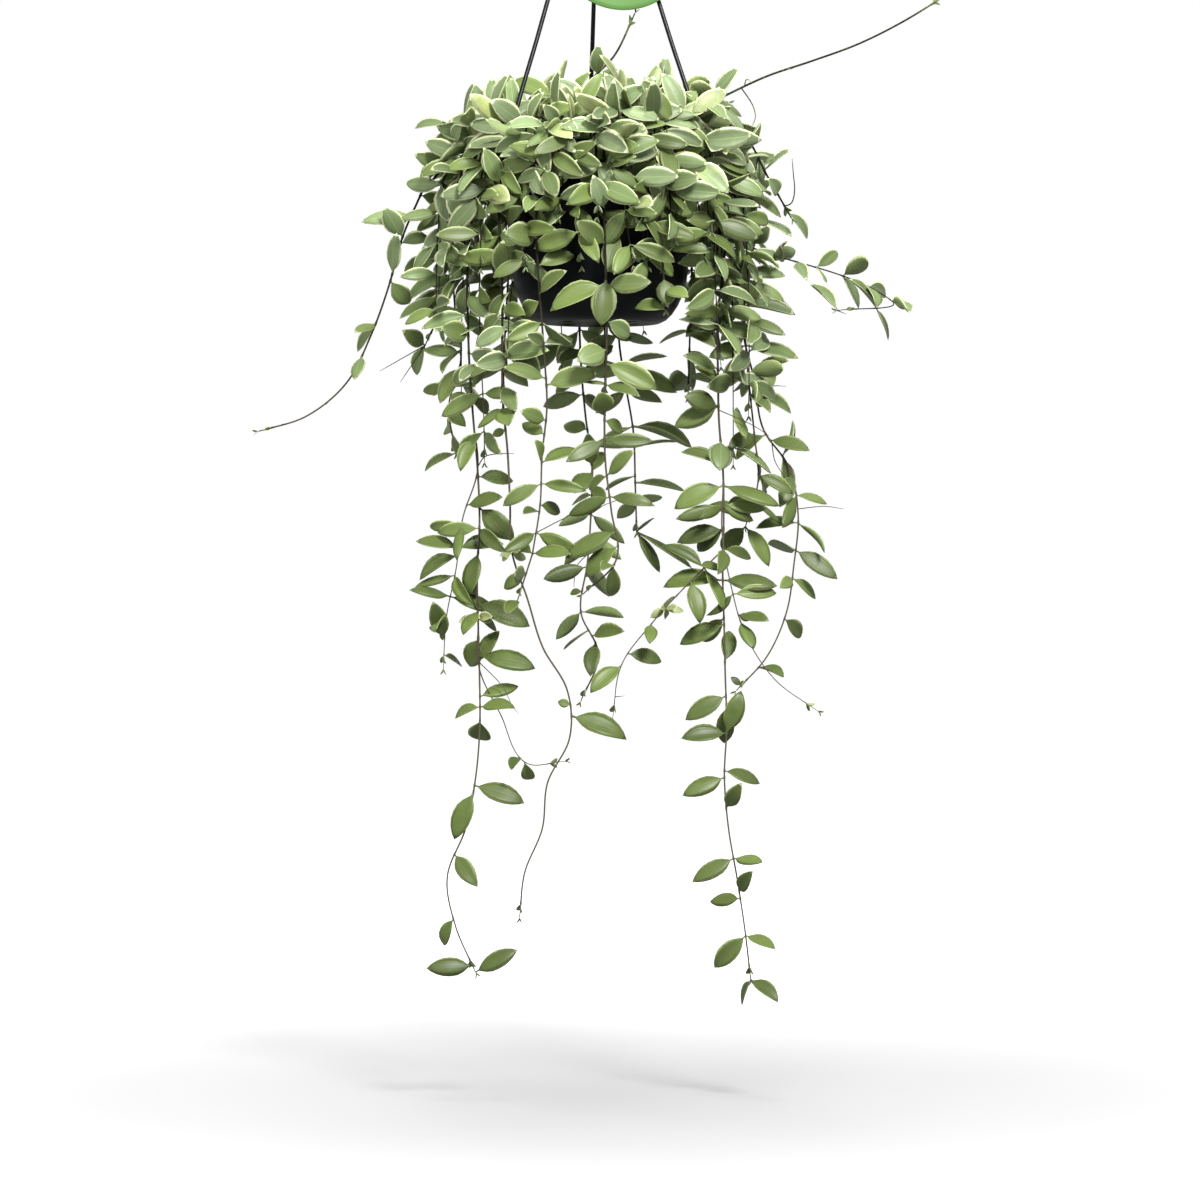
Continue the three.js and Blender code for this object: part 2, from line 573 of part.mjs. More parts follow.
        leaves: [[-58, -436, -63, -445, 6], [-54, -439, -50, -453, 9]],
      },
    ],
  },
  stem_left_inner: {
    azimuth: 222, root: 40, rise: 8, depth: [-60, -44],
    route: [
      [-71, -40], [-69, -99], [-69, -138], [-69, -179], [-66, -202], [-65, -229], [-63, -266], [-62, -292],
      [-58, -312], [-54, -318], [-48, -331], [-45, -342], [-41, -356], [-34, -373], [-27, -382], [-20, -394],
      [-17, -404], [-19, -416], [-25, -428], [-32, -443], [-37, -452], [-34, -468], [-34, -477], [-40, -485],
      [-48, -494], [-53, -502], [-53, -516], [-58, -526], [-63, -534], [-57, -549],
    ],
    leaves: [
      [-73, -32, -82, -6, 10], [-72, -49, -57, -50, 12], [-73, -99, -68, -71, 14], [-64, -140, -42, -166, 14],
      [-75, -188, -64, -202, 15], [-78, -188, -87, -202, 7], [-60, -173, -59, -192, 6.5],
      [-66, -204, -76, -208, 6], [-66, -118, -52, -124, 11], [-68, -120, -82, -132, 9], [-12, -408, 19, -423, 11],
      [-19, -396, -30, -396, 6],
    ],
  },
  stem_left_middle: {
    azimuth: 238, root: 52, rise: 7, depth: [-78, -66],
    route: [
      [-45, -34], [-44, -80], [-43, -112], [-40, -126], [-39, -143], [-39, -171], [-37, -197], [-40, -211],
      [-41, -230], [-42, -256], [-46, -284], [-48, -294], [-50, -306], [-54, -317], [-58, -324],
    ],
    leaves: [
      [-44, -40, -52, -54, 8], [-45, -63, -24, -50, 7], [-44, -70, -67, -68, 17], [-40, -90, -18, -81, 11],
      [-42, -107, -23, -94, 10], [-42, -116, -54, -122, 11], [-41, -142, -52, -139, 9], [-40, -143, -19, -140, 9],
      [-44, -171, -68, -161, 9], [-35, -173, -2, -165, 14], [-42, -197, -56, -192, 11], [-40, -209, -55, -199, 9],
      [-47, -226, -46, -212, 7], [-36, -229, -14, -218, 5], [-43, -260, -54, -264, 6], [-41, -259, -28, -262, 9],
      [-45, -293, -20, -292, 7], [-50, -290, -59, -288, 6], [-57, -322, -66, -335, 7],
    ],
  },
  stem_front: {
    azimuth: 272, root: 56, rise: 6, depth: [-84, -80],
    route: [
      [3, -20], [3, -58], [4, -96], [5, -138], [4, -165], [3, -180], [4, -217], [4, -249], [9, -265], [12, -284],
      [11, -297], [4, -306], [-7, -315], [-12, -320],
    ],
    leaves: [
      [-2, -52, -5, -28, 12], [6, -46, 19, -26, 9], [0, -73, -17, -60, 14], [3, -93, 12, -65, 10],
      [-6, -103, -35, -122, 11.5], [2, -101, 1, -133, 17], [11, -105, 36, -102, 14], [5, -127, 21, -138, 12],
      [4, -150, -16, -158, 18], [10, -161, 40, -176, 16], [5, -194, 0, -179, 15], [4, -196, 16, -206, 9],
      [5, -235, 24, -220, 8], [4, -236, -8, -246, 8], [10, -277, -25, -295, 10], [11, -285, -10, -308, 9],
    ],
  },
  stem_front_right: {
    azimuth: 301, root: 44, rise: 8, depth: [-76, -74],
    route: [[42, -22], [42, -53], [44, -85], [45, -101], [46, -120]],
    leaves: [
      [46, -30, 70, -29, 14], [43, -52, 35, -30, 11], [34, -43, 17, -36, 7], [46, -42, 66, -49, 12],
      [42, -80, 30, -57, 8], [45, -84, 52, -62, 10], [44, -84, 48, -118, 8], [42, -121, 24, -118, 9],
      [48, -104, 64, -114, 10],
    ],
  },
  stem_behind_right: {
    azimuth: 72, root: 52, rise: 8, depth: [84, 66],
    route: [
      [20, -40], [16, -100], [14, -139], [17, -150], [20, -174], [24, -192], [25, -214], [26, -239], [27, -265],
      [27, -274],
    ],
    leaves: [
      [24, -153, 57, -171, 17], [22, -149, 50, -144, 12], [31, -195, 68, -212, 15], [12, -199, -1, -212, 10],
      [35, -236, 63, -244, 13], [17, -235, 4, -243, 7], [26, -273, 40, -264, 7], [25, -272, 44, -304, 12],
      [32, -272, 68, -301, 13], [18, -110, 40, -118, 12], [16, -112, -2, -122, 12], [20, -60, 38, -70, 12],
    ],
  },
  stem_behind_left: {
    azimuth: 106, root: 38, rise: 7, depth: [82, 52],
    route: [
      [-18, -40], [-16, -100], [-14, -150], [-12, -178], [-9, -200], [-6, -223], [-6, -249], [-7, -265], [-9, -295],
      [-12, -310], [-14, -333], [-6, -346], [0, -356], [-7, -380], [-14, -398],
    ],
    leaves: [
      [-16, -138, -30, -150, 12], [-11, -200, -27, -194, 12], [-9, -223, -9, -201, 12], [-7, -230, 2, -214, 10],
      [-5, -232, -19, -246, 15], [-6, -243, -21, -254, 9], [-5, -239, 3, -254, 9], [-13, -318, -22, -320, 6],
      [0, -346, 18, -347, 12], [-6, -346, -27, -361, 5],
      [-1, -353, -7, -380, 9], [-17, -70, -34, -80, 12], [-17, -72, -2, -84, 12],
    ],
  },
  stem_far_left: {
    azimuth: 177, root: 58, rise: 14, depth: [4, 14],
    route: [
      [-104, 6], [-120, -9], [-130, -34], [-138, -48], [-144, -68], [-150, -90], [-156, -108], [-161, -122],
      [-167, -137], [-172, -151], [-180, -163], [-187, -172], [-192, -178], [-202, -184], [-212, -191],
      [-222, -198], [-230, -200], [-239, -202], [-247, -202],
    ],
    leaves: [
      [-134, -27, -120, -11, 7], [-129, -34, -111, -37, 11], [-152, -86, -146, -60, 9], [-150, -91, -138, -109, 13],
      [-147, -59, -155, -42, 14], [-143, -66, -124, -61, 11], [-163, -123, -176, -132, 9],
      [-160, -126, -176, -144, 9], [-171, -151, -176, -166, 6.5], [-108, 2, -122, 10, 8],
    ],
  },
  stem_left_outer: {
    azimuth: 163, root: 44, rise: 10, depth: [20, 26],
    route: [[-98, -40], [-99, -64], [-108, -90], [-114, -114], [-117, -122], [-127, -139]],
    leaves: [
      [-98, -44, -114, -58, 11], [-108, -90, -124, -94, 9], [-107, -99, -114, -112, 9], [-110, -96, -138, -122, 9],
      [-112, -100, -122, -117, 9], [-108, -88, -140, -107, 10], [-129, -138, -143, -129, 11.5],
      [-127, -139, -134, -160, 10], [-99, -66, -86, -80, 12],
    ],
  },
  stem_left_short: {
    azimuth: 190, root: 28, rise: 9, depth: [-6, 4],
    route: [[-100, -20], [-111, -30], [-107, -56], [-106, -90], [-103, -129], [-100, -148], [-109, -186], [-104, -218]],
    leaves: [
      [-111, -30, -111, 6, 15], [-111, -30, -82, -35, 11], [-108, -56, -126, -73, 11], [-106, -58, -92, -70, 11],
      [-104, -120, -118, -132, 10], [-99, -148, -128, -143, 8], [-102, -155, -115, -183, 12],
      [-105, -218, -127, -231, 6], [-108, -188, -96, -200, 9],
    ],
  },
  crown_left: {
    azimuth: 212, root: 22, rise: 16, depth: [-38, -26],
    route: [[-58, 16], [-68, 30], [-79, 33], [-94, 32], [-104, 23], [-109, 16]],
    leaves: [
      [-65, 30, -41, 32, 9], [-68, 31, -77, 49, 8], [-67, 31, -64, 49, 8], [-97, 26, -104, 5, 9],
      [-98, 30, -88, 44, 7], [-109, 17, -133, 14, 6], [-80, 33, -86, 10, 10],
    ],
  },
  crown_front_left: {
    azimuth: 248, root: 26, rise: 15, depth: [-66, -90],
    route: [[-26, 14], [-30, 2], [-36, -14], [-40, -28]],
    leaves: [
      [-27, 10, -14, 0, 12], [-30, 2, -37, -20, 12], [-28, 5, -17, -12, 8], [-30, 2, -50, 8, 12],
      [-38, -26, -30, -44, 12], [-38, -26, -58, -30, 10], [-28, 10, -40, 22, 10],
    ],
  },
  crown_front: {
    azimuth: 284, root: 30, rise: 14, depth: [-70, -92],
    route: [[12, 12], [10, 0], [8, -14], [7, -24]],
    leaves: [
      [6, 10, -6, -18, 16], [3, -19, 19, -1, 5], [10, -16, 42, -3, 13], [8, -23, -12, -22, 7],
      [12, 8, 34, 2, 11], [8, -24, 26, -34, 10], [8, 4, -12, 12, 9],
    ],
  },
};

// The rule for stems that the front doesn't show one by one: where they cross the rim, and their length
const CROWN_SPRAYS = 15;
const GOLDEN_ANGLE = 137.5;
const CURTAIN = [
  [32, 140], [46, 190], [60, 100], [88, 200], [120, 130], [134, 220], [149, 110], [334, 90],
];

// A leaf of the rule: it leaves the stem to one side, turned a quarter round from pair to pair
function ruledLeaf(point, tangent, quarter, random) {
  const flat = vector(-tangent.y, tangent.x, 0);
  const side = (flat.lengthSq() < 0.01 ? vector(point.y, -point.x, 0) : flat).normalize();
  side.applyAxisAngle(tangent, radians(quarter + (random() - 0.5) * 40));
  const outward = vector(point.x, point.y, 0).normalize();
  const reach = side.addScaledVector(tangent, 0.25 + 0.3 * random()).addScaledVector(outward, 0.2);
  reach.addScaledVector(UP, 0.1);
  const length = 25 + 11 * random();
  const normal = UP.clone().multiplyScalar(0.8).addScaledVector(outward, 0.55);
  normal.add(vector(random() - 0.5, random() - 0.5, random() - 0.5).multiplyScalar(0.7));
  return {
    root: point, tip: point.clone().addScaledVector(reach.normalize(), length), normal: normal.normalize(),
    width: length * (0.4 + 0.08 * random()), bow: 0.05 + 0.04 * random(), sway: outward,
  };
}

function ruledStem(name, lineFor, spacing, start, seed) {
  const random = seededRandom(seed);
  const line = clearLine(name, STEM_RADIUS, lineFor);
  if (!line) return;
  const points = placeStrand(name, line, STEM_RADIUS);
  const leaves = [];
  let next = start;
  let walked = 0;
  let pair = 0;
  for (let i = 1; i < points.length; i += 1) {
    walked += points[i].distanceTo(points[i - 1]);
    if (walked < next) continue;
    const tangent = points[i].clone().sub(points[i - 1]).normalize();
    for (const half of [0, 180]) leaves.push(ruledLeaf(points[i], tangent, half + 90 * (pair % 2), random));
    next += spacing * (0.85 + 0.3 * random());
    pair += 1;
  }
  return { name, strands: [], leaves };
}

function crownSpray(i) {
  const random = seededRandom(40 + i);
  const azimuth = i * GOLDEN_ANGLE;
  const root = 12 + 42 * ((i * 0.618) % 1);
  const reach = 74 + 30 * random();
  const top = 16 + 30 * random();
  const drop = 4 + 34 * random();
  return ruledStem(`crown_spray_${i + 1}`, (shift) => {
    const bent = azimuth + shift;
    const base = polar(root, azimuth, 0);
    return [
      vector(base.x, base.y, SOIL_TOP - HOLE_DEPTH + 2), vector(base.x, base.y, SOIL_TOP + 6),
      polar(root + 0.3 * (reach - root), bent, top * 0.8), polar(root + 0.65 * (reach - root), bent + 3, top),
      polar(reach, bent + 6, top - drop),
    ];
  }, 24, 42, 500 + i);
}

function curtainStem(i) {
  const random = seededRandom(90 + i);
  const [azimuth, length] = CURTAIN[i];
  const root = 30 + 26 * ((i * 0.618) % 1);
  const rise = 8 + 6 * random();
  const sway = 10 * (random() - 0.5);
  return ruledStem(`stem_curtain_${i + 1}`, (shift) => {
    const base = polar(root, azimuth, 0);
    const line = [
      vector(base.x, base.y, SOIL_TOP - HOLE_DEPTH + 2), vector(base.x, base.y, SOIL_TOP + 6),
      polar(root + 0.45 * (82 - root), azimuth, rise + 8), polar(LIP_RADIUS + 5, azimuth + shift / 2, rise),
    ];
    for (let drop = 40; drop < length; drop += 45) {
      line.push(polar(90 + 5 * Math.sin(drop / 60 + i), azimuth + shift + sway * (drop / length), -drop));
    }
    return line;
  }, 40, 84, 700 + i);
}

// Assembly: the stems are placed first, then their leaves, each bent clear of what stands there
const hangerBlack = finish(COLOURS.hanger, 0.4);
const hookSolid = hook();
const rods = Object.entries(ROD_AZIMUTHS).map(([side, azimuth]) => {
  const points = rodPoints(azimuth);
  return { name: `hanger_rod_${side}`, points, solid: rod(azimuth) };
});
const tagSolid = tag(rods[0].points);
for (const { name, points, solid } of rods) {
  placed.push({ owner: name, solid, boxes: [boxOf([...points, points[5].clone().setZ(-12)], 3)] });
}
placed.push({ owner: 'tag', solid: tagSolid, boxes: [boxOf([TAG_CENTRE], TAG_RADIUS)] });

const plants = [];
for (const [name, stem] of Object.entries(DRAWN)) {
  const drawn = drawnStem(name, stem);
  if (drawn) plants.push(drawn);
}
for (let i = 0; i < CURTAIN.length; i += 1) plants.push(curtainStem(i));
for (let i = 0; i < CROWN_SPRAYS; i += 1) plants.push(crownSpray(i));
const grown = plants.filter(Boolean);

for (const { name, strands, leaves } of grown) {
  for (const strand of strands) {
    strand.leaves.forEach((leaf, index) => growLeaf(name, drawnLeaf(strand.line, leaf, index)));
  }
  (leaves ?? []).forEach((leaf) => growLeaf(name, leaf));
}

const leafGreen = finish(COLOURS.leaf, 0.45);
const plant = new THREE.Group();
const roots = [];
for (const { name } of grown) {
  const own = placed.filter((piece) => piece.owner === name);
  roots.push(own.find((piece) => piece.stem).line[0]);
  const joined = own.map((piece) => piece.solid).reduce((whole, piece) => whole.add(piece));
  plant.add(named(name, geometryOf(joined), leafGreen));
}

const hanger = new THREE.Group();
hanger.add(named('hanger_hook', geometryOf(hookSolid), hangerBlack));
for (const { name, solid } of rods) hanger.add(named(name, geometryOf(solid), hangerBlack));

const object = new THREE.Group();
const fromRim = new THREE.Group();
fromRim.position.z = -RIM_DROP;
fromRim.add(pot(), soil(roots), hanger, named('tag', geometryOf(tagSolid), finish(COLOURS.tag, 0.5)), plant);
object.add(fromRim);

export default object;
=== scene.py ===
"""Potted variegated dischidia in a hanging pot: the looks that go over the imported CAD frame.

Everything is in metres in the frame's axes: +Z up, +X to the right and +Y away from someone who looks at
the front, with the origin where the hook bears. The plant is first read from its CAD stems, as smooth
lines with a leaf at each place where the solid has one, and is then grown again with finer pieces.
"""
import json
import math
import random
from itertools import combinations

import bmesh
import bpy
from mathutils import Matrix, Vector, noise
from mathutils.bvhtree import BVHTree
from mathutils.kdtree import KDTree

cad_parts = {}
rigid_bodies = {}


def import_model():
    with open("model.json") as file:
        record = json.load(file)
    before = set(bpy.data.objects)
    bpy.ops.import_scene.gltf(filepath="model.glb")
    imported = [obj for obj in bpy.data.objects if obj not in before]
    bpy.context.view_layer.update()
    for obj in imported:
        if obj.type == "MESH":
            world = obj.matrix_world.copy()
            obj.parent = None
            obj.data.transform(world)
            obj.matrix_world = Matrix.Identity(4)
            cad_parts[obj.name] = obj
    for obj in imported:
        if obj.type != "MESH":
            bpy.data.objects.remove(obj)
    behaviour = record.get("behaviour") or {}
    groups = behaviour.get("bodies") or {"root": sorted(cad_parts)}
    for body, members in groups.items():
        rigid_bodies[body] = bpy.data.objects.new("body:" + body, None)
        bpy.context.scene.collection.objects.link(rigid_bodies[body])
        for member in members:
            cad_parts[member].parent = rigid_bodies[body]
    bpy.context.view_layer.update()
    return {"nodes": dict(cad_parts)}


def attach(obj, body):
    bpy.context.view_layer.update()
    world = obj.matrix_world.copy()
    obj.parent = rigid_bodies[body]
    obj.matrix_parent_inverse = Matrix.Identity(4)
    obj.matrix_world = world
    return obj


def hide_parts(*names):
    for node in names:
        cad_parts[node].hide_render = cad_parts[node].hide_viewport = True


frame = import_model()

MM = 0.001
RIM_Z = -0.288
UP = Vector((0, 0, 1))


def at_rim(x, y, z):
    """A place in millimetres from the middle of the rim, in the frame's metres."""
    return Vector((x, y, z)) * MM + UP * RIM_Z


# ---------------------------------------------------------------------------------------------------
# Reading the plant from the frame
# ---------------------------------------------------------------------------------------------------

# How the CAD's leaves and stems are made, so that they can be read back: a leaf's section is lifted by
# this share of its half width, and a stem is a three-sided tube of one of two radii
EDGE_LIFT = 0.16
BROAD_SECTIONS = ((0.38, 0.94), (0.77, 0.86))
STEM_RADIUS = 1.15 * MM
BRANCH_RADIUS = 0.85 * MM


class Leaf:
    """A leaf from its foot on the stem to its tip, with its upward side and its greatest width."""

    def __init__(self, foot, tip, upward, width):
        self.foot, self.tip, self.upward, self.width = foot, tip, upward, width
        self.age = 0.5

    @property
    def length(self):
        return (self.tip - self.foot).length


class Strand:
    """One stretch of stem: points along its middle, and its radius at the start and at the end."""

    def __init__(self, points, start_radius, end_radius):
        self.points, self.start_radius, self.end_radius = points, start_radius, end_radius


def joined_mesh(node):
    """A CAD node's loose triangles, joined at their corners."""
    mesh = bmesh.new()
    mesh.from_mesh(frame["nodes"][node].data)
    bmesh.ops.remove_doubles(mesh, verts=mesh.verts, dist=1e-6)
    mesh.verts.index_update()
    return mesh


def read_section(corners):
    """A leaf's section: its middle, its upward side and its half width. Its keel is opposite its longest side."""
    a, b, c = (corner.co for corner in corners)
    left, right, keel = max(((a, b, c), (b, c, a), (c, a, b)), key=lambda side: (side[0] - side[1]).length)
    half = (left - right).length / 2
    upward = ((left + right) / 2 - keel).normalized()
    return (left + right) / 2 - upward * EDGE_LIFT * half, upward, half


def read_leaves(mesh):
    """Every leaf of a CAD stem. A leaf's tip is the only kind of corner with three long edges."""
    leaves = []
    for tip in mesh.verts:
        ring = [edge.other_vert(tip) for edge in tip.link_edges]
        if len(ring) != 3:
            continue
        middle, upward, half = read_section(ring)
        if half < 1.2 * MM or min((corner.co - tip.co).length for corner in ring) < 0.7 * half:
            continue
        behind = {edge.other_vert(corner) for corner in ring for edge in corner.link_edges} - {tip, *ring}
        (near_share, near_half), (far_share, far_half) = BROAD_SECTIONS
        foot = None
        for corners in combinations(behind, 3):
            earlier, _, earlier_half = read_section(corners)
            if abs(earlier_half / half - near_half / far_half) < 0.01:
                # the two sections and the tip give the leaf's whole length and its bow together
                near_bow, far_bow = near_share * (1 - near_share), far_share * (1 - far_share)
                along = (middle - tip.co) * near_bow - (earlier - tip.co) * far_bow
                along /= (1 - near_share) * far_bow - (1 - far_share) * near_bow
                foot = tip.co - along
                half /= far_half
                break
        if foot is None:
            reach = (tip.co - middle).length * 2
            foot = tip.co + (middle - upward * 0.06 * reach - tip.co) * 2
        leaves.append(Leaf(foot, tip.co.copy(), upward, half * 2))
    return leaves


def read_rings(mesh, radius):
    """The middles of a stem's three-cornered rings of this radius."""
    side = radius * math.sqrt(3)
    tree = KDTree(len(mesh.verts))
    for corner in mesh.verts:
        tree.insert(corner.co, corner.index)
    tree.balance()
    mesh.verts.ensure_lookup_table()
    rings = []
    for corner in mesh.verts:
        near = [mesh.verts[i] for _, i, distance in tree.find_range(corner.co, side * 1.004)
                if i > corner.index and abs(distance - side) < 0.004 * side]
        for a, b in combinations(near, 2):
            if abs((a.co - b.co).length - side) < 0.004 * side:
                rings.append((corner.co + a.co + b.co) / 3)
    return rings


def follow(rings, start, longest, sharpest=-0.8):
    """Takes rings out of the list in their order along a stem, each next one the nearest that lies ahead."""
    line = [start]
    heading = None
    while rings:
        def cost(ring):
            step = ring - line[-1]
            bend = 1 - step.normalized().dot(heading) if heading else 0
            return step.length * (1 + bend)

        best = min(rings, key=cost)
        step = best - line[-1]
        if step.length > longest or (heading and step.normalized().dot(heading) < sharpest):
            break
        heading = step.normalized()
        line.append(best)
        rings.remove(best)
    return line


def smooth_line(corners, spacing=2.5 * MM):
    """A smooth line through the corners, with points about this far apart."""
    points = [corners[0]]
    for i in range(len(corners) - 1):
        b, c = corners[i], corners[i + 1]
        a = corners[i - 1] if i else b * 2 - c
        d = corners[i + 2] if i + 2 < len(corners) else c * 2 - b
        into, out = (c - a) / 2, (d - b) / 2
        span = (c - b).length
        into *= span / max(into.length, 1e-6)
        out *= span / max(out.length, 1e-6)
        count = max(1, round(span / spacing))
        for k in range(1, count + 1):
            t = k / count
            points.append(b * (2 * t ** 3 - 3 * t ** 2 + 1) + into * (t ** 3 - 2 * t ** 2 + t)
                          + c * (3 * t ** 2 - 2 * t ** 3) + out * (t ** 3 - t ** 2))
    return points


def nearest_on(points, place):
    return min(points, key=lambda point: (point - place).length_squared)


def read_stem(node):
    """The strands and leaves of one CAD stem."""
    mesh = joined_mesh(node)
    rings = read_rings(mesh, STEM_RADIUS)
    inside = [ring for ring in rings if math.hypot(ring.x, ring.y) < 66 * MM and ring.z > RIM_Z - 100 * MM]
    root = min(inside, key=lambda ring: ring.z)
    rings.remove(root)
    main = smooth_line(follow(rings, root, 90 * MM))
    strands = [Strand(main, 1.0 * MM, 0.72 * MM)]
    rings = read_rings(mesh, BRANCH_RADIUS)
    while len(rings) > 1:
        first = max(rings, key=lambda ring: ring.z)
        rings.remove(first)
        line = follow(rings, first, 50 * MM, sharpest=0.4)
        if len(line) < 2:
            continue
        fork = nearest_on(main, line[0] * 2 - line[1])
        strands.append(Strand(smooth_line([fork, *line]), 0.7 * MM, 0.4 * MM))
    leaves = read_leaves(mesh)
    mesh.free()
    for leaf in leaves:
        leaf.foot = nearest_on([point for strand in strands for point in strand.points], leaf.foot)
    return strands, leaves


stem_names = [name for name in frame["nodes"] if name.startswith(("stem_", "crown_", "runner_"))]
plant = {name: read_stem(name) for name in sorted(stem_names)}


# ---------------------------------------------------------------------------------------------------
# Growing what the solids leave out: shoots over the rim, tendrils, young leaves
# ---------------------------------------------------------------------------------------------------

random.seed(11)


def outside_pot(place):
    """True where a leaf can be: over the growing medium, or outside the pot's wall."""
    x, y, z = (place - UP * RIM_Z) / MM
    radius = math.hypot(x, y)
    if z > -4 and radius < 64 or z > 3 or z < -128:
        return True
    wall = 78 if z > -10 else 71.5 + (z + 8) * 9 / 86 if z > -94 else 62.5
    return radius > wall + 1


def blade_faces(leaf):
    """A leaf's blade as four triangles, to test whether it meets another."""
    along = leaf.tip - leaf.foot
    side = along.cross(leaf.upward).normalized() * leaf.width / 2
    foot, tip = leaf.foot + along * 0.16, leaf.tip
    middle = leaf.foot + along * 0.55 + leaf.upward * leaf.length * 0.05
    return [foot, tip, middle + side, middle - side, middle], [(0, 4, 2), (4, 1, 2), (0, 3, 4), (4, 3, 1)]


class Canopy:
    """All blades that stand already, so that a new one can be kept clear of them."""

    def __init__(self, leaves):
        self.corners, self.faces = [], []
        for leaf in leaves:
            self.add(leaf)

    def add(self, leaf):
        corners, faces = blade_faces(leaf)
        first = len(self.corners)
        self.corners += corners
        self.faces += [tuple(first + i for i in face) for face in faces]
        self.tree = BVHTree.FromPolygons(self.corners, self.faces)

    def is_clear(self, leaf):
        corners, faces = blade_faces(leaf)
        if not all(outside_pot(corner) for corner in corners):
            return False
        return not BVHTree.FromPolygons(corners, faces).overlap(self.tree)


canopy = Canopy([leaf for _, leaves in plant.values() for leaf in leaves])


def leaf_at(foot, along, upward, length, width, age):
    """A new leaf, or none if every way of turning it meets another."""
    for turn in (0, 25, -25, 50, -50, 80, -80):
        side = along.cross(upward).normalized()
        bent = (along + side * math.sin(math.radians(turn)) * 0.8 + upward * random.uniform(-0.2, 0.2)).normalized()
        leaf = Leaf(foot, foot + bent * length, upward, width)
        leaf.age = age
        if canopy.is_clear(leaf):
            canopy.add(leaf)
            return leaf
    return None


def turned_about(axis, vector, degrees):
    """The vector turned about the axis, both at right angles to it or not."""
    turned = vector.copy()
    axis = axis.normalized()
    angle = math.radians(degrees)
    return (turned * math.cos(angle) + axis.cross(turned) * math.sin(angle)
            + axis * axis.dot(turned) * (1 - math.cos(angle)))


def facing(place):
    """Which way blades turn their upper side: away from the pot and up, and those in front more to the front."""
    outward = Vector((place.x, place.y, 0)).normalized()
    return (outward * 0.7 + Vector((0, -0.6, 0)) * (place.y < 30 * MM) + UP * 0.3).normalized()


def on_the_wall(place):
    """True close to the pot's wall, where blades lie along it."""
    return -118 * MM < place.z - RIM_Z < -4 * MM and math.hypot(place.x, place.y) < 96 * MM


def leaf_pairs(strand, start, end, spacing, length, age, quarter=None, spread=0.28):
    """Opposite leaves along a strand, each pair a quarter round from the last. length is a pair of limits, and
    spread is how unevenly the blades face."""
    leaves = []
    points = strand.points
    travelled, following = 0, start
    quarter = random.uniform(0, 90) if quarter is None else quarter
    total = sum((b - a).length for a, b in zip(points, points[1:]))
    for before, point in zip(points, points[1:]):
        travelled += (point - before).length
        if travelled < following or travelled > total - end:
            continue
        tangent = (point - before).normalized()
        outward = Vector((point.x, point.y, 0)).normalized()
        for half in (0, 180):
            side = tangent.cross(UP if abs(tangent.z) < 0.9 else outward).normalized()
            side = turned_about(tangent, side, quarter + half + random.uniform(-20, 20))
            lift = random.uniform(-1.3, 1.0) * spread + 0.1
            along = (side + tangent * random.uniform(0.2, 0.6) + outward * 0.2 + UP * lift).normalized()
            uneven = Vector([random.gauss(0, spread) for _ in range(3)])
            upward = (facing(point) + uneven).normalized()
            along = (along - upward * along.dot(upward) * 0.6).normalized()
            if on_the_wall(point):
                upward = (outward + uneven * 0.5).normalized()
            reach, years = random.uniform(*length), random.uniform(*age)
            # old blades low down are narrower for their length than those of the crown
            leaf = leaf_at(point, along, upward, reach, reach * (random.uniform(0.40, 0.51) - 0.16 * years), years)
            if leaf:
                leaves.append(leaf)
        quarter += 90
        following += spacing * random.uniform(0.85, 1.15)
    return leaves


def open_bud(place, heading):
    """A few yellow-green leaves that have just opened, on short stalks round one place on a stem."""
    leaves = []
    for turn in range(0, 360, 72):
        side = turned_about(heading, heading.cross(Vector((0, -1, 0.2))).normalized(), turn + random.uniform(-25, 25))
        along = (side + heading * random.uniform(0.1, 0.7) + Vector((0, -0.3, 0.2))).normalized()
        size = random.uniform(9, 15) * MM
        leaf = leaf_at(place, along, facing(place), size, size * 0.5, random.uniform(0.12, 0.24))
        if leaf:
            leaves.append(leaf)
    return leaves


def young_tip(strand, sizes=((0, 5), (4, 9))):
    """Small new leaves, folded close, where a stem still grows: how many points back each pair is, and its size."""
    leaves = []
    points = strand.points
    heading = (points[-1] - points[-4]).normalized()
    side = heading.cross(Vector((0, -1, 0.2))).normalized()
    for back, size in sizes:
        place = points[max(0, len(points) - 1 - back)]
        for sign in (1, -1):
            along = (heading + side * sign * (0.5 + 0.15 * back)).normalized()
            leaf = Leaf(place, place + along * size * MM, (side * -sign + Vector((0, -0.6, 0.4))).normalized(),
                        size * 0.38 * MM)
            leaf.age = random.uniform(0.3, 0.5)
            leaves.append(leaf)
        side = turned_about(heading, side, 70)
    return leaves


def polar(radius, azimuth, height):
    return at_rim(radius * math.cos(math.radians(azimuth)), radius * math.sin(math.radians(azimuth)), height)


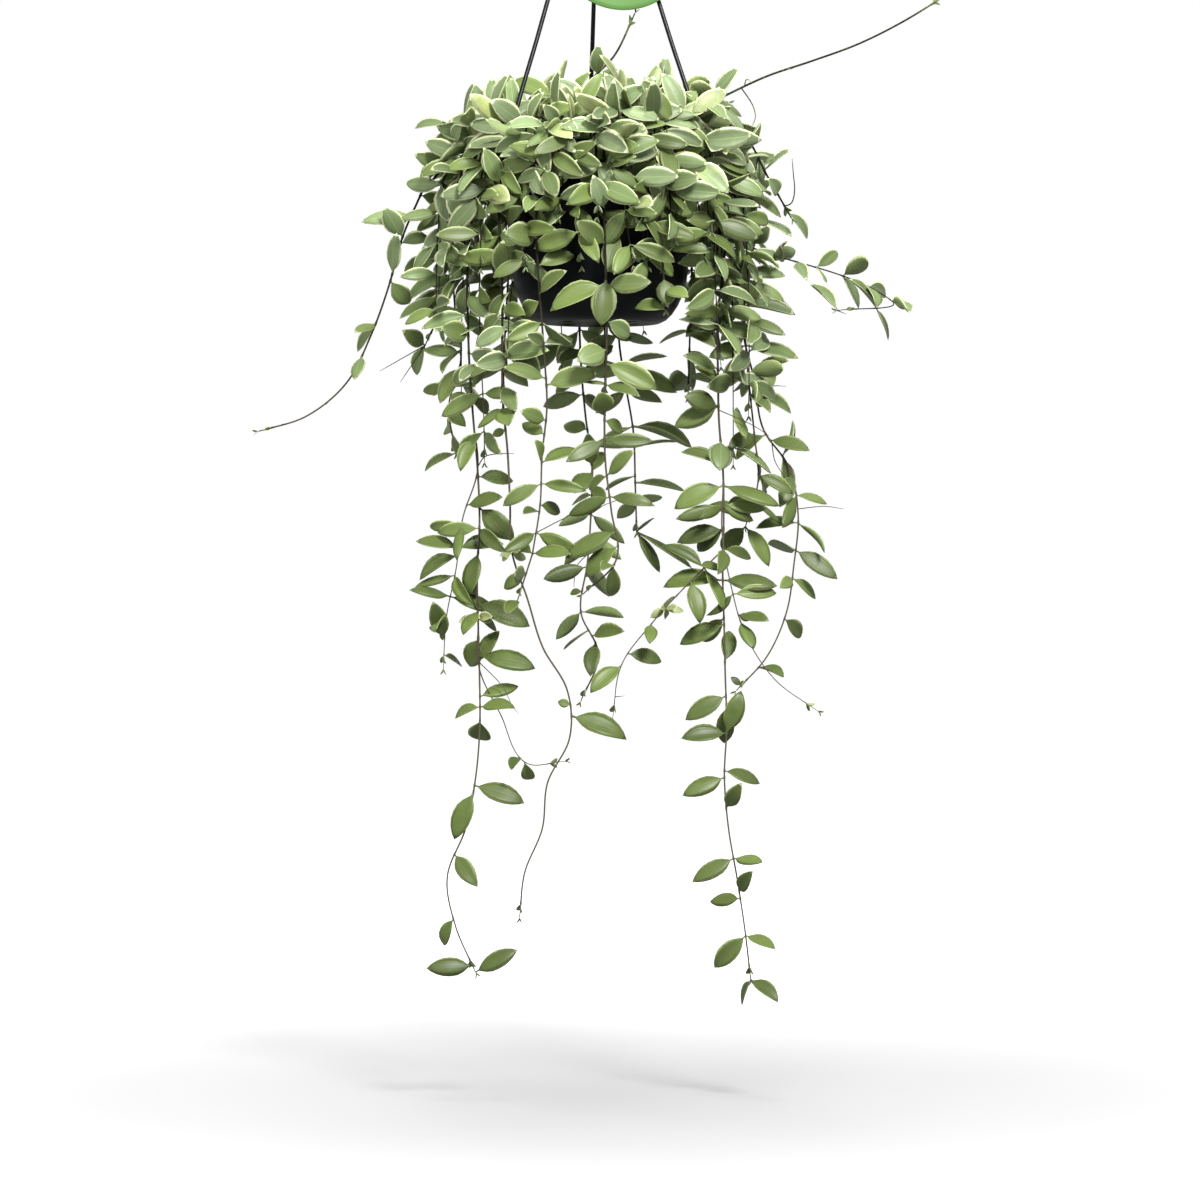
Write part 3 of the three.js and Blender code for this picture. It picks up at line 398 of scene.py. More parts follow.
# Short shoots that fill the crown between the stems: azimuth, radius of the root, height of the arch,
# radius and height of the end, all in millimetres
CROWN_SHOOTS = (
    (186, 40, 22, 104, -16), (198, 30, 20, 94, 2), (207, 48, 20, 98, -34), (219, 30, 14, 90, -8),
    (231, 50, 18, 92, -30), (242, 22, 20, 82, 8), (250, 44, 14, 92, -18), (262, 50, 12, 90, -44), (271, 26, 30, 86, 12),
    (278, 50, 12, 94, -52), (288, 34, 24, 92, -14), (297, 52, 10, 92, -66), (304, 20, 34, 80, 26), (309, 44, 18, 94, -32),
    (318, 52, 12, 96, -60), (325, 32, 28, 92, 2), (334, 50, 14, 98, -46), (342, 24, 34, 88, 18), (351, 44, 22, 100, -20),
    (4, 48, 18, 98, -34), (18, 30, 34, 88, 20), (34, 48, 18, 94, -20), (55, 32, 28, 88, 8), (78, 48, 18, 85, -26),
    (101, 28, 32, 86, 16), (123, 48, 18, 92, -18), (146, 32, 30, 88, 8), (167, 46, 22, 100, -18),
    (215, 8, 54, 58, 32), (290, 6, 62, 46, 38), (350, 10, 54, 60, 34), (60, 8, 46, 56, 28), (140, 10, 48, 58, 28),
)

# Longer shoots that hang beside the pot: azimuth, radius of the root, radius outside, and where they end
SIDE_SHOOTS = (
    (160, 40, 102, -150), (176, 52, 118, -128), (184, 34, 100, -205), (193, 50, 120, -150), (203, 38, 92, -235),
    (211, 54, 104, -120), (220, 42, 90, -170), (232, 48, 94, -100), (322, 48, 92, -110), (169, 34, 112, -95),
    (197, 56, 110, -92), (188, 24, 94, -80),
    (331, 38, 98, -180), (341, 54, 92, -150), (350, 42, 108, -200), (0, 52, 96, -245),
    (9, 36, 110, -130), (27, 50, 92, -150), (72, 46, 92, -150), (112, 52, 90, -190), (138, 44, 94, -130),
)

# Short ones that lie over the front of the pot's wall
FRONT_SHOOTS = (
    (247, 46, 87, -78), (272, 38, 88, -58), (284, 30, 90, -92), (297, 44, 87, -100), (309, 36, 90, -74),
    (257, 54, 84, -110), (291, 52, 84, -122), (304, 56, 85, -112),
)


def crown_shoot(azimuth, root, arch, end_radius, end_height):
    corners = [
        polar(root, azimuth, -18), polar(root + 1, azimuth, -4),
        polar(root + 0.3 * (end_radius - root), azimuth + 2, arch * 0.5),
        polar(root + 0.7 * (end_radius - root), azimuth + 5, arch * 0.65),
        polar(end_radius, azimuth + 7, end_height - 4),
    ]
    strand = Strand(smooth_line(corners), 0.85 * MM, 0.45 * MM)
    leaves = leaf_pairs(strand, 20 * MM, 4 * MM, 17 * MM, (28 * MM, 40 * MM), (0.14, 0.62), spread=0.45)
    return [strand], leaves + young_tip(strand, ((0, 7),))


def painted_wall_shade(leaves):
    """Painted shade: blades beside the pot's wall are made older, so a deeper green, for the shade they lie in there.
    """
    for leaf in leaves:
        leaf.age = min(1, leaf.age + 0.17 * on_the_wall(leaf.foot))
    return leaves


def side_shoot(azimuth, root, radius, end_height):
    corners = [
        polar(root, azimuth, -18), polar(root + 1, azimuth, -4), polar(root + 0.5 * (84 - root), azimuth, 17),
        polar(84, azimuth, 8),
    ]
    height = -22
    while height > end_height:
        corners.append(polar(radius - 6 * math.exp(height / 40) * 2, azimuth + 4 * math.sin(height / 45 + root), height))
        height -= 34
    strand = Strand(smooth_line(corners), 0.8 * MM, 0.4 * MM)
    leaves = leaf_pairs(strand, 40 * MM, 4 * MM, 24 * MM, (26 * MM, 37 * MM), (0.34, 0.66))
    # the blades beside the pot's wall get painted shade, a deeper green
    return [strand], painted_wall_shade(leaves) + young_tip(strand)


# Stems that stay bare past these heights in millimetres from the rim, as they do in the photograph
BARE_BELOW = {
    "runner_right": 30, "runner_top": 90, "stem_far_left": -95, "stem_left_inner": -215, "stem_right_upper": -60,
}


def fill_gaps(name, strands, leaves):
    """Leaf pairs where a stem is bare beside or just below the pot: its solid leaves out what would cross there."""
    feet = [leaf.foot for leaf in leaves]
    for strand in strands:
        following = 0
        for i in range(6, len(strand.points) - 6):
            point = strand.points[i]
            height = (point.z - RIM_Z) / MM
            if not max(-340, BARE_BELOW.get(name, -400)) < height < 6 or i < following:
                continue
            if min(((point - foot).length for foot in feet), default=1) < 13 * MM:
                continue
            place = Strand(strand.points[i - 1:i + 2], 0, 0)
            depth = min(1, max(0, (-height - 40) / 230))
            new = leaf_pairs(place, 0, -1, 1, (27 * MM, 37 * MM), (0.32 + 0.35 * depth, 0.5 + 0.4 * depth),
                             random.choice((-50, 0, 50)) if height < -110 else random.uniform(-20, 20))
            leaves += new[:2]
            following = i + 8


# Thin tendrils, spurs and leafless runners, each from a stem nearby: [x, z] in millimetres from the rim
TENDRILS = (
    ((152, -257), (163, -256), (177, -258)), ((11, -393), (18, -392)), ((-192, -178), (-198, -183)),
    ((-226, -192), (-230, -197)), ((168, -116), (178, -117)),
    ((133, -40), (138, -38), (140, -29), (139, -18), (138, -7)), ((100, 37), (108, 27), (110, 18), (107, 10)),
    ((-96, -487), (-102, -492)), ((-86, -228), (-82, -222), (-72, -220), (-61, -220)),
    ((-9, -289), (-17, -299), (-19, -310), (-19, -315)),
    ((-43, -278), (-26, -267), (-14, -262), (-8, -264), (4, -257), (26, -250)),
    ((88, -189), (109, -199), (121, -207)), ((-77, -369), (-70, -385), (-62, -400), (-58, -405)),
    ((-141, -151), (-160, -158)), ((-143, -156), (-145, -166)), ((-17, -92), (-12, -99), (1, -109)),
    ((116, -176), (125, -169), (135, -169)), ((133, -312), (138, -307)), ((123, -210), (127, -223), (134, -235)),
    ((137, 40), (137, 53)), ((101, 42), (104, 45), (108, 42)),
)


# Where new leaves have opened on the stems: x and z in millimetres from the rim
OPEN_BUDS = ((-58, -289), (-81, -337), (-19, -77), (-104, -22), (-22, -10), (106, -44), (46, -330), (8, 34))


def add_tendrils():
    """Each bud or tendril starts on the stem that is nearest to its first point as seen from the front."""
    on_stems = [(point, name) for name, (strands, _) in plant.items() for strand in strands
                for point in strand.points if point.z < RIM_Z + 30 * MM or name.startswith("runner")]

    def nearest_stem(x, z):
        place = at_rim(x, 0, z)
        return min(on_stems, key=lambda entry: math.hypot(entry[0].x - place.x, entry[0].z - place.z)
                   + 0.2 * max(0, entry[0].y))

    for x, z in OPEN_BUDS:
        start, name = nearest_stem(x, z)
        plant[name][1].extend(open_bud(start, Vector((0.1, -0.1, -1)).normalized()))
    for route in TENDRILS:
        start, name = nearest_stem(*route[0])
        corners = [start]
        for i, (x, z) in enumerate(route[1:], 1):
            place = at_rim(x, 0, z)
            place.y = start.y - i * 2.5 * MM
            corners.append(place)
        plant[name][0].append(Strand(smooth_line(corners, 2 * MM), 0.5 * MM, 0.28 * MM))


def leaf_age(leaf, strands):
    """0 is a leaf that just opened, 1 an old one. Leaves are oldest far down, and some of those higher than 60 mm below
    the rim are new.
    """
    height = (leaf.foot.z - RIM_Z) / MM
    age = 0.34 + 0.5 * min(1, max(0, (-height - 40) / 230)) + random.gauss(0, 0.06)
    if height > -60 and random.random() < (0.3 if height > 26 else 0.07):
        age = random.uniform(0.13, 0.28)
    return min(1, max(0.02, age))


for name, (strands, leaves) in plant.items():
    for leaf in leaves:
        leaf.age = leaf_age(leaf, strands)
        leaf.upward = (leaf.upward + facing(leaf.foot) * 0.6).normalized()
        leaf.width *= 1.08
    fill_gaps(name, strands, leaves)
    # painted shade: blades beside the pot's wall are made a deeper green
    painted_wall_shade(leaves)
    for strand in strands:
        leaves += young_tip(strand)
for number, shoot in enumerate(SIDE_SHOOTS, 1):
    plant[f"side_shoot_{number}"] = side_shoot(*shoot)
for number, shoot in enumerate(CROWN_SHOOTS, 1):
    plant[f"crown_shoot_{number}"] = crown_shoot(*shoot)
add_tendrils()
for number, shoot in enumerate(FRONT_SHOOTS, 1):
    plant[f"front_shoot_{number}"] = side_shoot(*shoot)


# ---------------------------------------------------------------------------------------------------
# Nodes and finishes
# ---------------------------------------------------------------------------------------------------


def linear(hex_colour):
    """An sRGB hex colour as the linear RGBA that Blender's sockets take."""
    parts = [int(hex_colour[i:i + 2], 16) / 255 for i in (1, 3, 5)]
    return tuple(c / 12.92 if c <= 0.04045 else ((c + 0.055) / 1.055) ** 2.4 for c in parts) + (1.0,)


def add_node(tree, kind, inputs=(), **settings):
    """Adds a node with these settings. inputs maps a socket's name or index to a value or to what it links to."""
    node = tree.nodes.new(kind)
    for key, value in settings.items():
        setattr(node, key, value)
    for key, value in dict(inputs).items():
        if isinstance(value, bpy.types.NodeSocket):
            tree.links.new(value, node.inputs[key])
        else:
            node.inputs[key].default_value = value
    return node


def new_finish(name, roughness, ior=1.5):
    """A material with its principled shader, on whose sockets the plain values stand."""
    finish = bpy.data.materials.new(name)
    finish.use_nodes = True
    shader = finish.node_tree.nodes["Principled BSDF"]
    shader.inputs["Roughness"].default_value = roughness
    shader.inputs["IOR"].default_value = ior
    return finish, finish.node_tree, shader


def colour_steps(tree, factor, steps):
    """A colour ramp through (place, hex colour) steps."""
    node = add_node(tree, "ShaderNodeValToRGB", {"Fac": factor})
    elements = node.color_ramp.elements
    while len(elements) < len(steps):
        elements.new(0.5)
    for element, (place, colour) in zip(elements, steps):
        element.position = place
        element.color = linear(colour)
    return node.outputs["Color"]


def mix(tree, factor, a, b, blend_type="MIX"):
    node = add_node(tree, "ShaderNodeMix", {0: factor, 6: a, 7: b}, data_type="RGBA", blend_type=blend_type)
    return node.outputs[2]


def maths(tree, operation, a, b=0.0, c=0.0):
    return add_node(tree, "ShaderNodeMath", {0: a, 1: b, 2: c}, operation=operation).outputs[0]


def smooth_step(tree, value, low, high):
    inputs = {"Value": value, "From Min": low, "From Max": high}
    return add_node(tree, "ShaderNodeMapRange", inputs, interpolation_type="SMOOTHSTEP").outputs[0]


def grain(tree, size, detail=2.0, roughness=0.5):
    """Noise on the piece's own coordinates, with grains of this real size."""
    place = add_node(tree, "ShaderNodeTexCoord").outputs["Object"]
    inputs = {"Vector": place, "Scale": 1 / size, "Detail": detail, "Roughness": roughness}
    return add_node(tree, "ShaderNodeTexNoise", inputs).outputs["Fac"]


def relief(tree, shader, height, depth):
    """Bump of this real depth."""
    inputs = {"Height": height, "Distance": depth, "Strength": 1.0}
    tree.links.new(add_node(tree, "ShaderNodeBump", inputs).outputs["Normal"], shader.inputs["Normal"])


def waxy_leaf():
    """Leaf blade with a thin wax layer: satin, firm and slightly fleshy. New blades are yellow-green, those
    of the crown sage with a cream margin, and the old ones low down mid green with a faint light edge."""
    finish, tree, shader = new_finish("waxy_variegated_leaf", 0.48, 1.45)
    shader.inputs["Coat Weight"].default_value = 0.12
    shader.inputs["Coat Roughness"].default_value = 0.35
    age = add_node(tree, "ShaderNodeAttribute", attribute_name="age").outputs["Fac"]
    tone = add_node(tree, "ShaderNodeAttribute", attribute_name="tone").outputs["Fac"]
    place = add_node(tree, "ShaderNodeSeparateXYZ", {0: add_node(tree, "ShaderNodeUVMap", uv_map="leaf").outputs[0]})
    across, along = place.outputs["X"], place.outputs["Y"]
    from_rib = maths(tree, "ABSOLUTE", maths(tree, "MULTIPLY_ADD", across, 2.0, -1.0))
    share = maths(tree, "ABSOLUTE", along)
    mottle = grain(tree, 7 * MM, 3.0)
    aged = maths(tree, "ADD", age, maths(tree, "MULTIPLY", maths(tree, "SUBTRACT", mottle, 0.5), 0.22))
    blade = colour_steps(tree, aged, (
        (0.0, "#C4C884"), (0.14, "#AAB472"), (0.27, "#7C8C66"), (0.45, "#6B7D51"), (0.62, "#6A7B42"),
        (0.8, "#5E6E36"), (0.95, "#4C5B2B"),
    ))
    rib = smooth_step(tree, from_rib, 0.10, 0.02)
    young = smooth_step(tree, age, 0.85, 0.2)
    blade = mix(tree, maths(tree, "MULTIPLY", maths(tree, "MULTIPLY", rib, young), 0.35), blade, linear("#A4B578"))
    tip = smooth_step(tree, share, 0.8, 1.0)
    old = smooth_step(tree, age, 0.62, 0.9)
    blade = mix(tree, maths(tree, "MULTIPLY", maths(tree, "MULTIPLY", tip, old), 0.75), blade, linear("#4A5538"))
    # the cream margin is about 0.8 mm wide on a young blade, and narrows and greens with age
    margin_colour = colour_steps(tree, age, ((0.0, "#E2E6B8"), (0.45, "#DAE1B0"), (0.7, "#A9B77C"), (1.0, "#7C8E50")))
    ragged = maths(tree, "MULTIPLY", grain(tree, 2.6 * MM), 0.1)
    inner = maths(tree, "SUBTRACT", maths(tree, "MULTIPLY_ADD", age, 0.14, 0.57), ragged)
    inner = maths(tree, "MULTIPLY_ADD", tone, 0.21, inner)
    outer = maths(tree, "ADD", inner, 0.08)
    margin = smooth_step(tree, maths(tree, "MAXIMUM", from_rib, maths(tree, "POWER", share, 3.0)), inner, outer)
    blade = mix(tree, margin, blade, margin_colour)
    # the underside is paler and duller
    under = maths(tree, "LESS_THAN", along, 0.0)
    pale = colour_steps(tree, age, ((0.0, "#CBD296"), (0.5, "#97A573"), (1.0, "#6E8250")))
    blade = mix(tree, maths(tree, "MULTIPLY", under, 0.5), blade, pale)
    bright = add_node(tree, "ShaderNodeHueSaturation", {"Color": blade, "Value": tone}).outputs[0]
    tree.links.new(bright, shader.inputs["Base Color"])
    groove = maths(tree, "MULTIPLY", rib, -0.6)
    relief(tree, shader, maths(tree, "ADD", groove, maths(tree, "MULTIPLY", grain(tree, 0.9 * MM), 0.35)), 0.12 * MM)
    return finish


def corky_stem():
    """Thin woody stem with a dry, slightly rough skin: near black in the crown, grey-brown where it ages."""
    finish, tree, shader = new_finish("corky_stem_bark", 0.7, 1.45)
    shader.inputs["Specular IOR Level"].default_value = 0.12
    age = add_node(tree, "ShaderNodeAttribute", attribute_name="age").outputs["Fac"]
    skin = grain(tree, 1.4 * MM, 4.0, 0.6)
    shifted = maths(tree, "ADD", age, maths(tree, "MULTIPLY", maths(tree, "SUBTRACT", skin, 0.5), 0.5))
    colour = colour_steps(tree, shifted, (
        (0.0, "#7F8A50"), (0.14, "#4A5430"), (0.26, "#161812"), (0.45, "#1C1D17"), (0.75, "#3A362B"), (1.0, "#5A5244"),
    ))
    tree.links.new(colour, shader.inputs["Base Color"])
    relief(tree, shader, skin, 0.15 * MM)
    return finish


def moulded_plastic(name, colours, roughness, specular=0.3):
    """Injection-moulded polypropylene: satin, with faint flow marks and a fine spark texture from the mould."""
    finish, tree, shader = new_finish(name, roughness, 1.49)
    shader.inputs["Specular IOR Level"].default_value = specular
    flow = grain(tree, 35 * MM, 3.0)
    tree.links.new(colour_steps(tree, flow, ((0.3, colours[0]), (0.7, colours[1]))), shader.inputs["Base Color"])
    relief(tree, shader, grain(tree, 0.8 * MM), 0.03 * MM)
    return finish


def bark_and_peat():
    """Potting bark with peat between: matt, in warm browns, with fibres about 1 mm wide."""
    finish, tree, shader = new_finish("bark_and_peat", 0.92, 1.4)
    chunks = grain(tree, 5 * MM, 6.0, 0.65)
    colour = colour_steps(tree, chunks, ((0.28, "#1B130D"), (0.46, "#3A2B20"), (0.6, "#5A4230"), (0.78, "#7A6048")))
    tree.links.new(colour, shader.inputs["Base Color"])
    relief(tree, shader, grain(tree, 1.2 * MM, 4.0), 0.6 * MM)
    return finish


# ---------------------------------------------------------------------------------------------------
# Making pieces
# ---------------------------------------------------------------------------------------------------


def new_piece(name, mesh, finish=None, smooth=True):
    piece = bpy.data.objects.new(name, mesh)
    bpy.context.scene.collection.objects.link(piece)
    if finish:
        mesh.materials.clear()
        mesh.materials.append(finish)
    if smooth:
        mesh.shade_smooth()
    return piece


def plain_copy(piece, name):
    """The piece with its modifiers applied, as a plain mesh in place of it."""
    graph = bpy.context.evaluated_depsgraph_get()
    mesh = bpy.data.meshes.new_from_object(piece.evaluated_get(graph), depsgraph=graph)
    old = piece.data
    bpy.data.objects.remove(piece)
    bpy.data.meshes.remove(old)
    mesh.name = name
    return new_piece(name, mesh, smooth=False)


# A blade's outline from its foot to its tip: share of the length, and half width as a share of the greatest
BLADE_OUTLINE = (
    (0.0, 0.08), (0.08, 0.09), (0.13, 0.30), (0.22, 0.64), (0.34, 0.91), (0.49, 1.0), (0.64, 0.95), (0.78, 0.74),
    (0.90, 0.42),
)
ACROSS = (-1.0, -0.55, 0.0, 0.55, 1.0)
UNDER = (1.0, 0.55, 0.0, -0.55, -1.0)

# The ways in which blades bend: arch, how far the tip curls under, fold along the rib, twist in degrees
BLADE_SHAPES = (
    (0.05, 0.00, 0.05, 0), (0.02, 0.07, 0.02, 10), (0.06, 0.02, 0.09, -8), (0.03, 0.10, 0.05, -18),
    (0.04, 0.04, -0.03, 6), (0.07, -0.02, 0.13, 14),
)


def blade_mesh(name, arch, curl, fold, twist):
    """One leaf, 1 long and 1 to each side. Its upper face is slightly cushioned and its rib stands out below."""
    form = bmesh.new()
    rows = []
    for share, half in BLADE_OUTLINE:
        rise = 4 * share * (1 - share) * (arch + curl * share)
        turn = math.radians(twist) * (share - 0.5)
        thick = 0.016 + 0.010 * half
        row = []
        for across in ACROSS:
            y = half * across
            z = fold * abs(across) * half * (0.35 + 0.65 * abs(across)) + thick * (1 - across * across)
            z -= 0.012 * (across == 0) * half
            row.append(form.verts.new((share, y * math.cos(turn), rise + z + y * math.sin(turn) * 0.25)))
        for across in UNDER[1:4]:
            over = row[ACROSS.index(across)].co
            row.append(form.verts.new((share, over.y, over.z - thick * (2.3 if across == 0 else 1.7))))
        rows.append(row)
    tip = form.verts.new((1, 0, 0))
    layer = form.loops.layers.uv.new("leaf")

    def face(corners, places):
        made = form.faces.new(corners)
        for loop, (across, along) in zip(made.loops, places):
            loop[layer].uv = ((across + 1) / 2, along)

    for (share, _), (next_share, _), row, next_row in zip(BLADE_OUTLINE, BLADE_OUTLINE[1:], rows, rows[1:]):
        for i in range(4):
            a, b = ACROSS[i], ACROSS[i + 1]
            face((row[i], next_row[i], next_row[i + 1], row[i + 1]),
                 ((a, share), (a, next_share), (b, next_share), (b, share)))
        for i in range(4):
            left, right, a, b = 4 + i, (5 + i) % 8, UNDER[i], UNDER[i + 1]
            face((row[left], next_row[left], next_row[right], row[right]),
                 ((a, -share), (a, -next_share), (b, -next_share), (b, -share)))
    share, last = BLADE_OUTLINE[-1][0], rows[-1]
    for i in range(4):
        face((last[i], tip, last[i + 1]), ((ACROSS[i], share), (0, 1), (ACROSS[i + 1], share)))
        left, right = 4 + i, (5 + i) % 8
        face((last[left], tip, last[right]), ((UNDER[i], -share), (0, -1), (UNDER[i + 1], -share)))
    form.faces.new(rows[0])
    bmesh.ops.recalc_face_normals(form, faces=form.faces)
    mesh = bpy.data.meshes.new(name)
    form.to_mesh(mesh)
    form.free()
    mesh.shade_smooth()
    return mesh


def leafy_tree():
    """Geometry Nodes that grow one stem: its edges become tubes, and a leaf stands at each leaf point.
    The points carry which way the leaf lies, its size and which of the blade shapes it has."""
    tree = bpy.data.node_groups.new("leafy_stem", "GeometryNodeTree")
    for name, kind in (("Stem", "Geometry"), ("Blade shapes", "Collection"), ("Stem sides", "Int"),
                       ("Leaf finish", "Material"), ("Stem finish", "Material")):
        tree.interface.new_socket(name, in_out="INPUT", socket_type=f"NodeSocket{kind}")
    tree.interface.new_socket("Stem", in_out="OUTPUT", socket_type="NodeSocketGeometry")
    given = add_node(tree, "NodeGroupInput").outputs

    def read(name, kind):
        return add_node(tree, "GeometryNodeInputNamedAttribute", {"Name": name}, data_type=kind).outputs["Attribute"]

    parts = add_node(tree, "GeometryNodeSeparateGeometry", {"Geometry": given["Stem"],
                                                            "Selection": read("is_leaf", "BOOLEAN")})
    line = add_node(tree, "GeometryNodeMeshToCurve", {"Mesh": parts.outputs["Inverted"]}).outputs[0]
    ring = add_node(tree, "GeometryNodeCurvePrimitiveCircle", {"Resolution": given["Stem sides"], "Radius": 1.0})
    tube = add_node(tree, "GeometryNodeCurveToMesh", {
        "Curve": line, "Profile Curve": ring.outputs["Curve"], "Scale": read("thick", "FLOAT"), "Fill Caps": True,
    }).outputs[0]
    tube = add_node(tree, "GeometryNodeSetMaterial", {"Geometry": tube, "Material": given["Stem finish"]}).outputs[0]

    shapes = add_node(tree, "GeometryNodeCollectionInfo", {
        "Collection": given["Blade shapes"], "Separate Children": True, "Reset Children": True,
    }).outputs[0]
    lie = add_node(tree, "FunctionNodeAxesToRotation", {
        "Primary Axis": read("along", "FLOAT_VECTOR"), "Secondary Axis": read("upward", "FLOAT_VECTOR"),
    }, primary_axis="X", secondary_axis="Z").outputs[0]
    blades = add_node(tree, "GeometryNodeInstanceOnPoints", {
        "Points": parts.outputs["Selection"], "Instance": shapes, "Pick Instance": True,
        "Instance Index": read("shape", "INT"), "Rotation": lie, "Scale": read("size", "FLOAT_VECTOR"),
    }).outputs[0]
    blades = add_node(tree, "GeometryNodeRealizeInstances", {"Geometry": blades}).outputs[0]
    blades = add_node(tree, "GeometryNodeSetMaterial", {"Geometry": blades, "Material": given["Leaf finish"]}).outputs[0]
    both = add_node(tree, "GeometryNodeJoinGeometry")
    tree.links.new(tube, both.inputs[0])
    tree.links.new(blades, both.inputs[0])
    smooth = add_node(tree, "GeometryNodeSetShadeSmooth", {"Geometry": both.outputs[0]}).outputs[0]
    add_node(tree, "NodeGroupOutput", {0: smooth})
    return tree


def set_inputs(modifier, tree, values):
    """Sets a Geometry Nodes modifier's inputs, each by the identifier that belongs to its name."""
    for item in tree.interface.items_tree:
        if item.in_out == "INPUT" and item.name in values:
            modifier[item.identifier] = values[item.name]


def stem_base(name, strands, leaves):
    """The plain lines and points that the leafy tree grows a stem from."""
    corners, edges, thick, age = [], [], [], []
    feet = [leaf.foot for leaf in leaves]
    for strand in strands:
        first, count = len(corners), len(strand.points)
        for i, point in enumerate(strand.points):
            # a stem swells a little at each joint, where its leaves stand
            joint = any((point - foot).length < 1.6 * MM for foot in feet)
            radius = strand.start_radius + (strand.end_radius - strand.start_radius) * i / count
            depth = (RIM_Z - point.z) / MM
            radius *= 1 - 0.2 * min(1, max(0, depth / 350))
            thick.append(radius * (1.35 if joint else 1) * min(1, 0.55 + 0.15 * (count - 1 - i)))
            age.append(min(1, max(0.25, 0.3 + depth / 330)) - 0.25 * max(0, (i - count + 12) / 12))
        corners += strand.points
        edges += [(first + i, first + i + 1) for i in range(count - 1)]
    lines = len(corners)
    mesh = bpy.data.meshes.new(name)
    mesh.from_pydata(corners + feet, edges, [])
    shapes = [random.randrange(len(BLADE_SHAPES)) for _ in leaves]
    columns = {
        "is_leaf": ("BOOLEAN", "value", [False] * lines + [True] * len(leaves)),
        "thick": ("FLOAT", "value", thick + [0] * len(leaves)),
        "age": ("FLOAT", "value", age + [leaf.age for leaf in leaves]),
        "tone": ("FLOAT", "value", [1] * lines + [random.uniform(0.62, 1.18) for _ in leaves]),
        "shape": ("INT", "value", [0] * lines + shapes),
        "along": ("FLOAT_VECTOR", "vector", [Vector((1, 0, 0))] * lines + [leaf.tip - leaf.foot for leaf in leaves]),
        "upward": ("FLOAT_VECTOR", "vector", [UP] * lines + [leaf.upward for leaf in leaves]),
        "size": ("FLOAT_VECTOR", "vector", [Vector((1, 1, 1))] * lines
                 + [Vector((leaf.length, leaf.width / 2, leaf.length)) for leaf in leaves]),
    }
    for column, (kind, field, values) in columns.items():
        attribute = mesh.attributes.new(column, kind, "POINT")
        flat = [part for value in values for part in value] if field == "vector" else values
        attribute.data.foreach_set(field, flat)
    return new_piece(name, mesh, smooth=False)


blade_shapes = bpy.data.collections.new("blade_shapes")
for number, shape in enumerate(BLADE_SHAPES):
    blade_shapes.objects.link(bpy.data.objects.new(f"blade_{number}", blade_mesh(f"blade_{number}", *shape)))
leafy_stem = leafy_tree()
stem_values = {
    "Blade shapes": blade_shapes, "Stem sides": 6, "Leaf finish": waxy_leaf(), "Stem finish": corky_stem(),
}
for name, (strands, leaves) in plant.items():
    base = stem_base(f"{name}_lines", strands, leaves)
    grow = base.modifiers.new("grow", "NODES")
    grow.node_group = leafy_stem
    set_inputs(grow, leafy_stem, stem_values)
    stem = plain_copy(base, f"{name}_leafy")
    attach(stem, "root")
    if name in frame["nodes"]:
        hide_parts(name)
for shape in list(blade_shapes.objects):
    bpy.data.objects.remove(shape)
bpy.data.collections.remove(blade_shapes)


# ---------------------------------------------------------------------------------------------------
# Pot and growing medium
# ---------------------------------------------------------------------------------------------------


def lathed(name, profile, sides, finish, centre=(0, 0, RIM_Z)):
    """A closed solid of revolution about Z. The profile is (radius, height) in millimetres, from axis to axis."""
    form = bmesh.new()
    rings = []
    for radius, height in profile:
        if radius == 0:
            rings.append([form.verts.new((0, 0, height * MM))])
            continue
        angles = [2 * math.pi * i / sides for i in range(sides)]
        rings.append([form.verts.new((radius * MM * math.cos(a), radius * MM * math.sin(a), height * MM)) for a in angles])
    for low, high in zip(rings, rings[1:]):
        for i in range(sides):
            k = (i + 1) % sides
            corners = [low[i % len(low)], low[k % len(low)], high[k % len(high)], high[i % len(high)]]
            form.faces.new(dict.fromkeys(corners))
    bmesh.ops.recalc_face_normals(form, faces=form.faces)
    bmesh.ops.translate(form, verts=form.verts, vec=Vector(centre))
    mesh = bpy.data.meshes.new(name)
    form.to_mesh(mesh)
    form.free()
    return new_piece(name, mesh, finish)


def dressed(piece, slot, *nodes):
    """The piece rides on the part and stands for these CAD nodes; slot is not used."""
    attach(piece, "root")
    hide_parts(*nodes)


POT_PROFILE = (
    (0, -124.4), (33, -124.4), (38, -125), (43, -124.8), (47.6, -122.6), (52, -118.3), (56, -112.4), (59.1, -105.8),
    (61.2, -99.6), (62.5, -94), (65, -70), (67.3, -48), (69.5, -27), (71.2, -10.5), (72, -9), (75.6, -8), (76.7, -7.4),
    (77, -6.2), (77, -1.9), (76.5, -0.6), (75.2, 0), (72.4, 0), (71.1, -0.5), (70.5, -1.8), (69.9, -8), (60.9, -94),
    (57.5, -105.3), (51, -116.7), (41.7, -123), (0, -123),
)
pot_plastic = moulded_plastic("moulded_polypropylene_black", ("#101214", "#17191C"), 0.34, 0.12)
pot = lathed("pot_shell", POT_PROFILE, 96, pot_plastic)
for number in range(6):
    angle = math.radians(number * 60 + 30)
    hole = lathed("drainage_hole", ((0, -4), (4, -4), (4, 4), (0, 4)), 20, pot_plastic,
                  (27 * MM * math.cos(angle), 27 * MM * math.sin(angle), RIM_Z - 124 * MM))
    cut = pot.modifiers.new("drainage", "BOOLEAN")
    cut.object, cut.operation, cut.solver = hole, "DIFFERENCE", "EXACT"
    pot = plain_copy(pot, "pot_shell")
    bpy.data.objects.remove(hole)
dressed(pot, "pot", "pot")

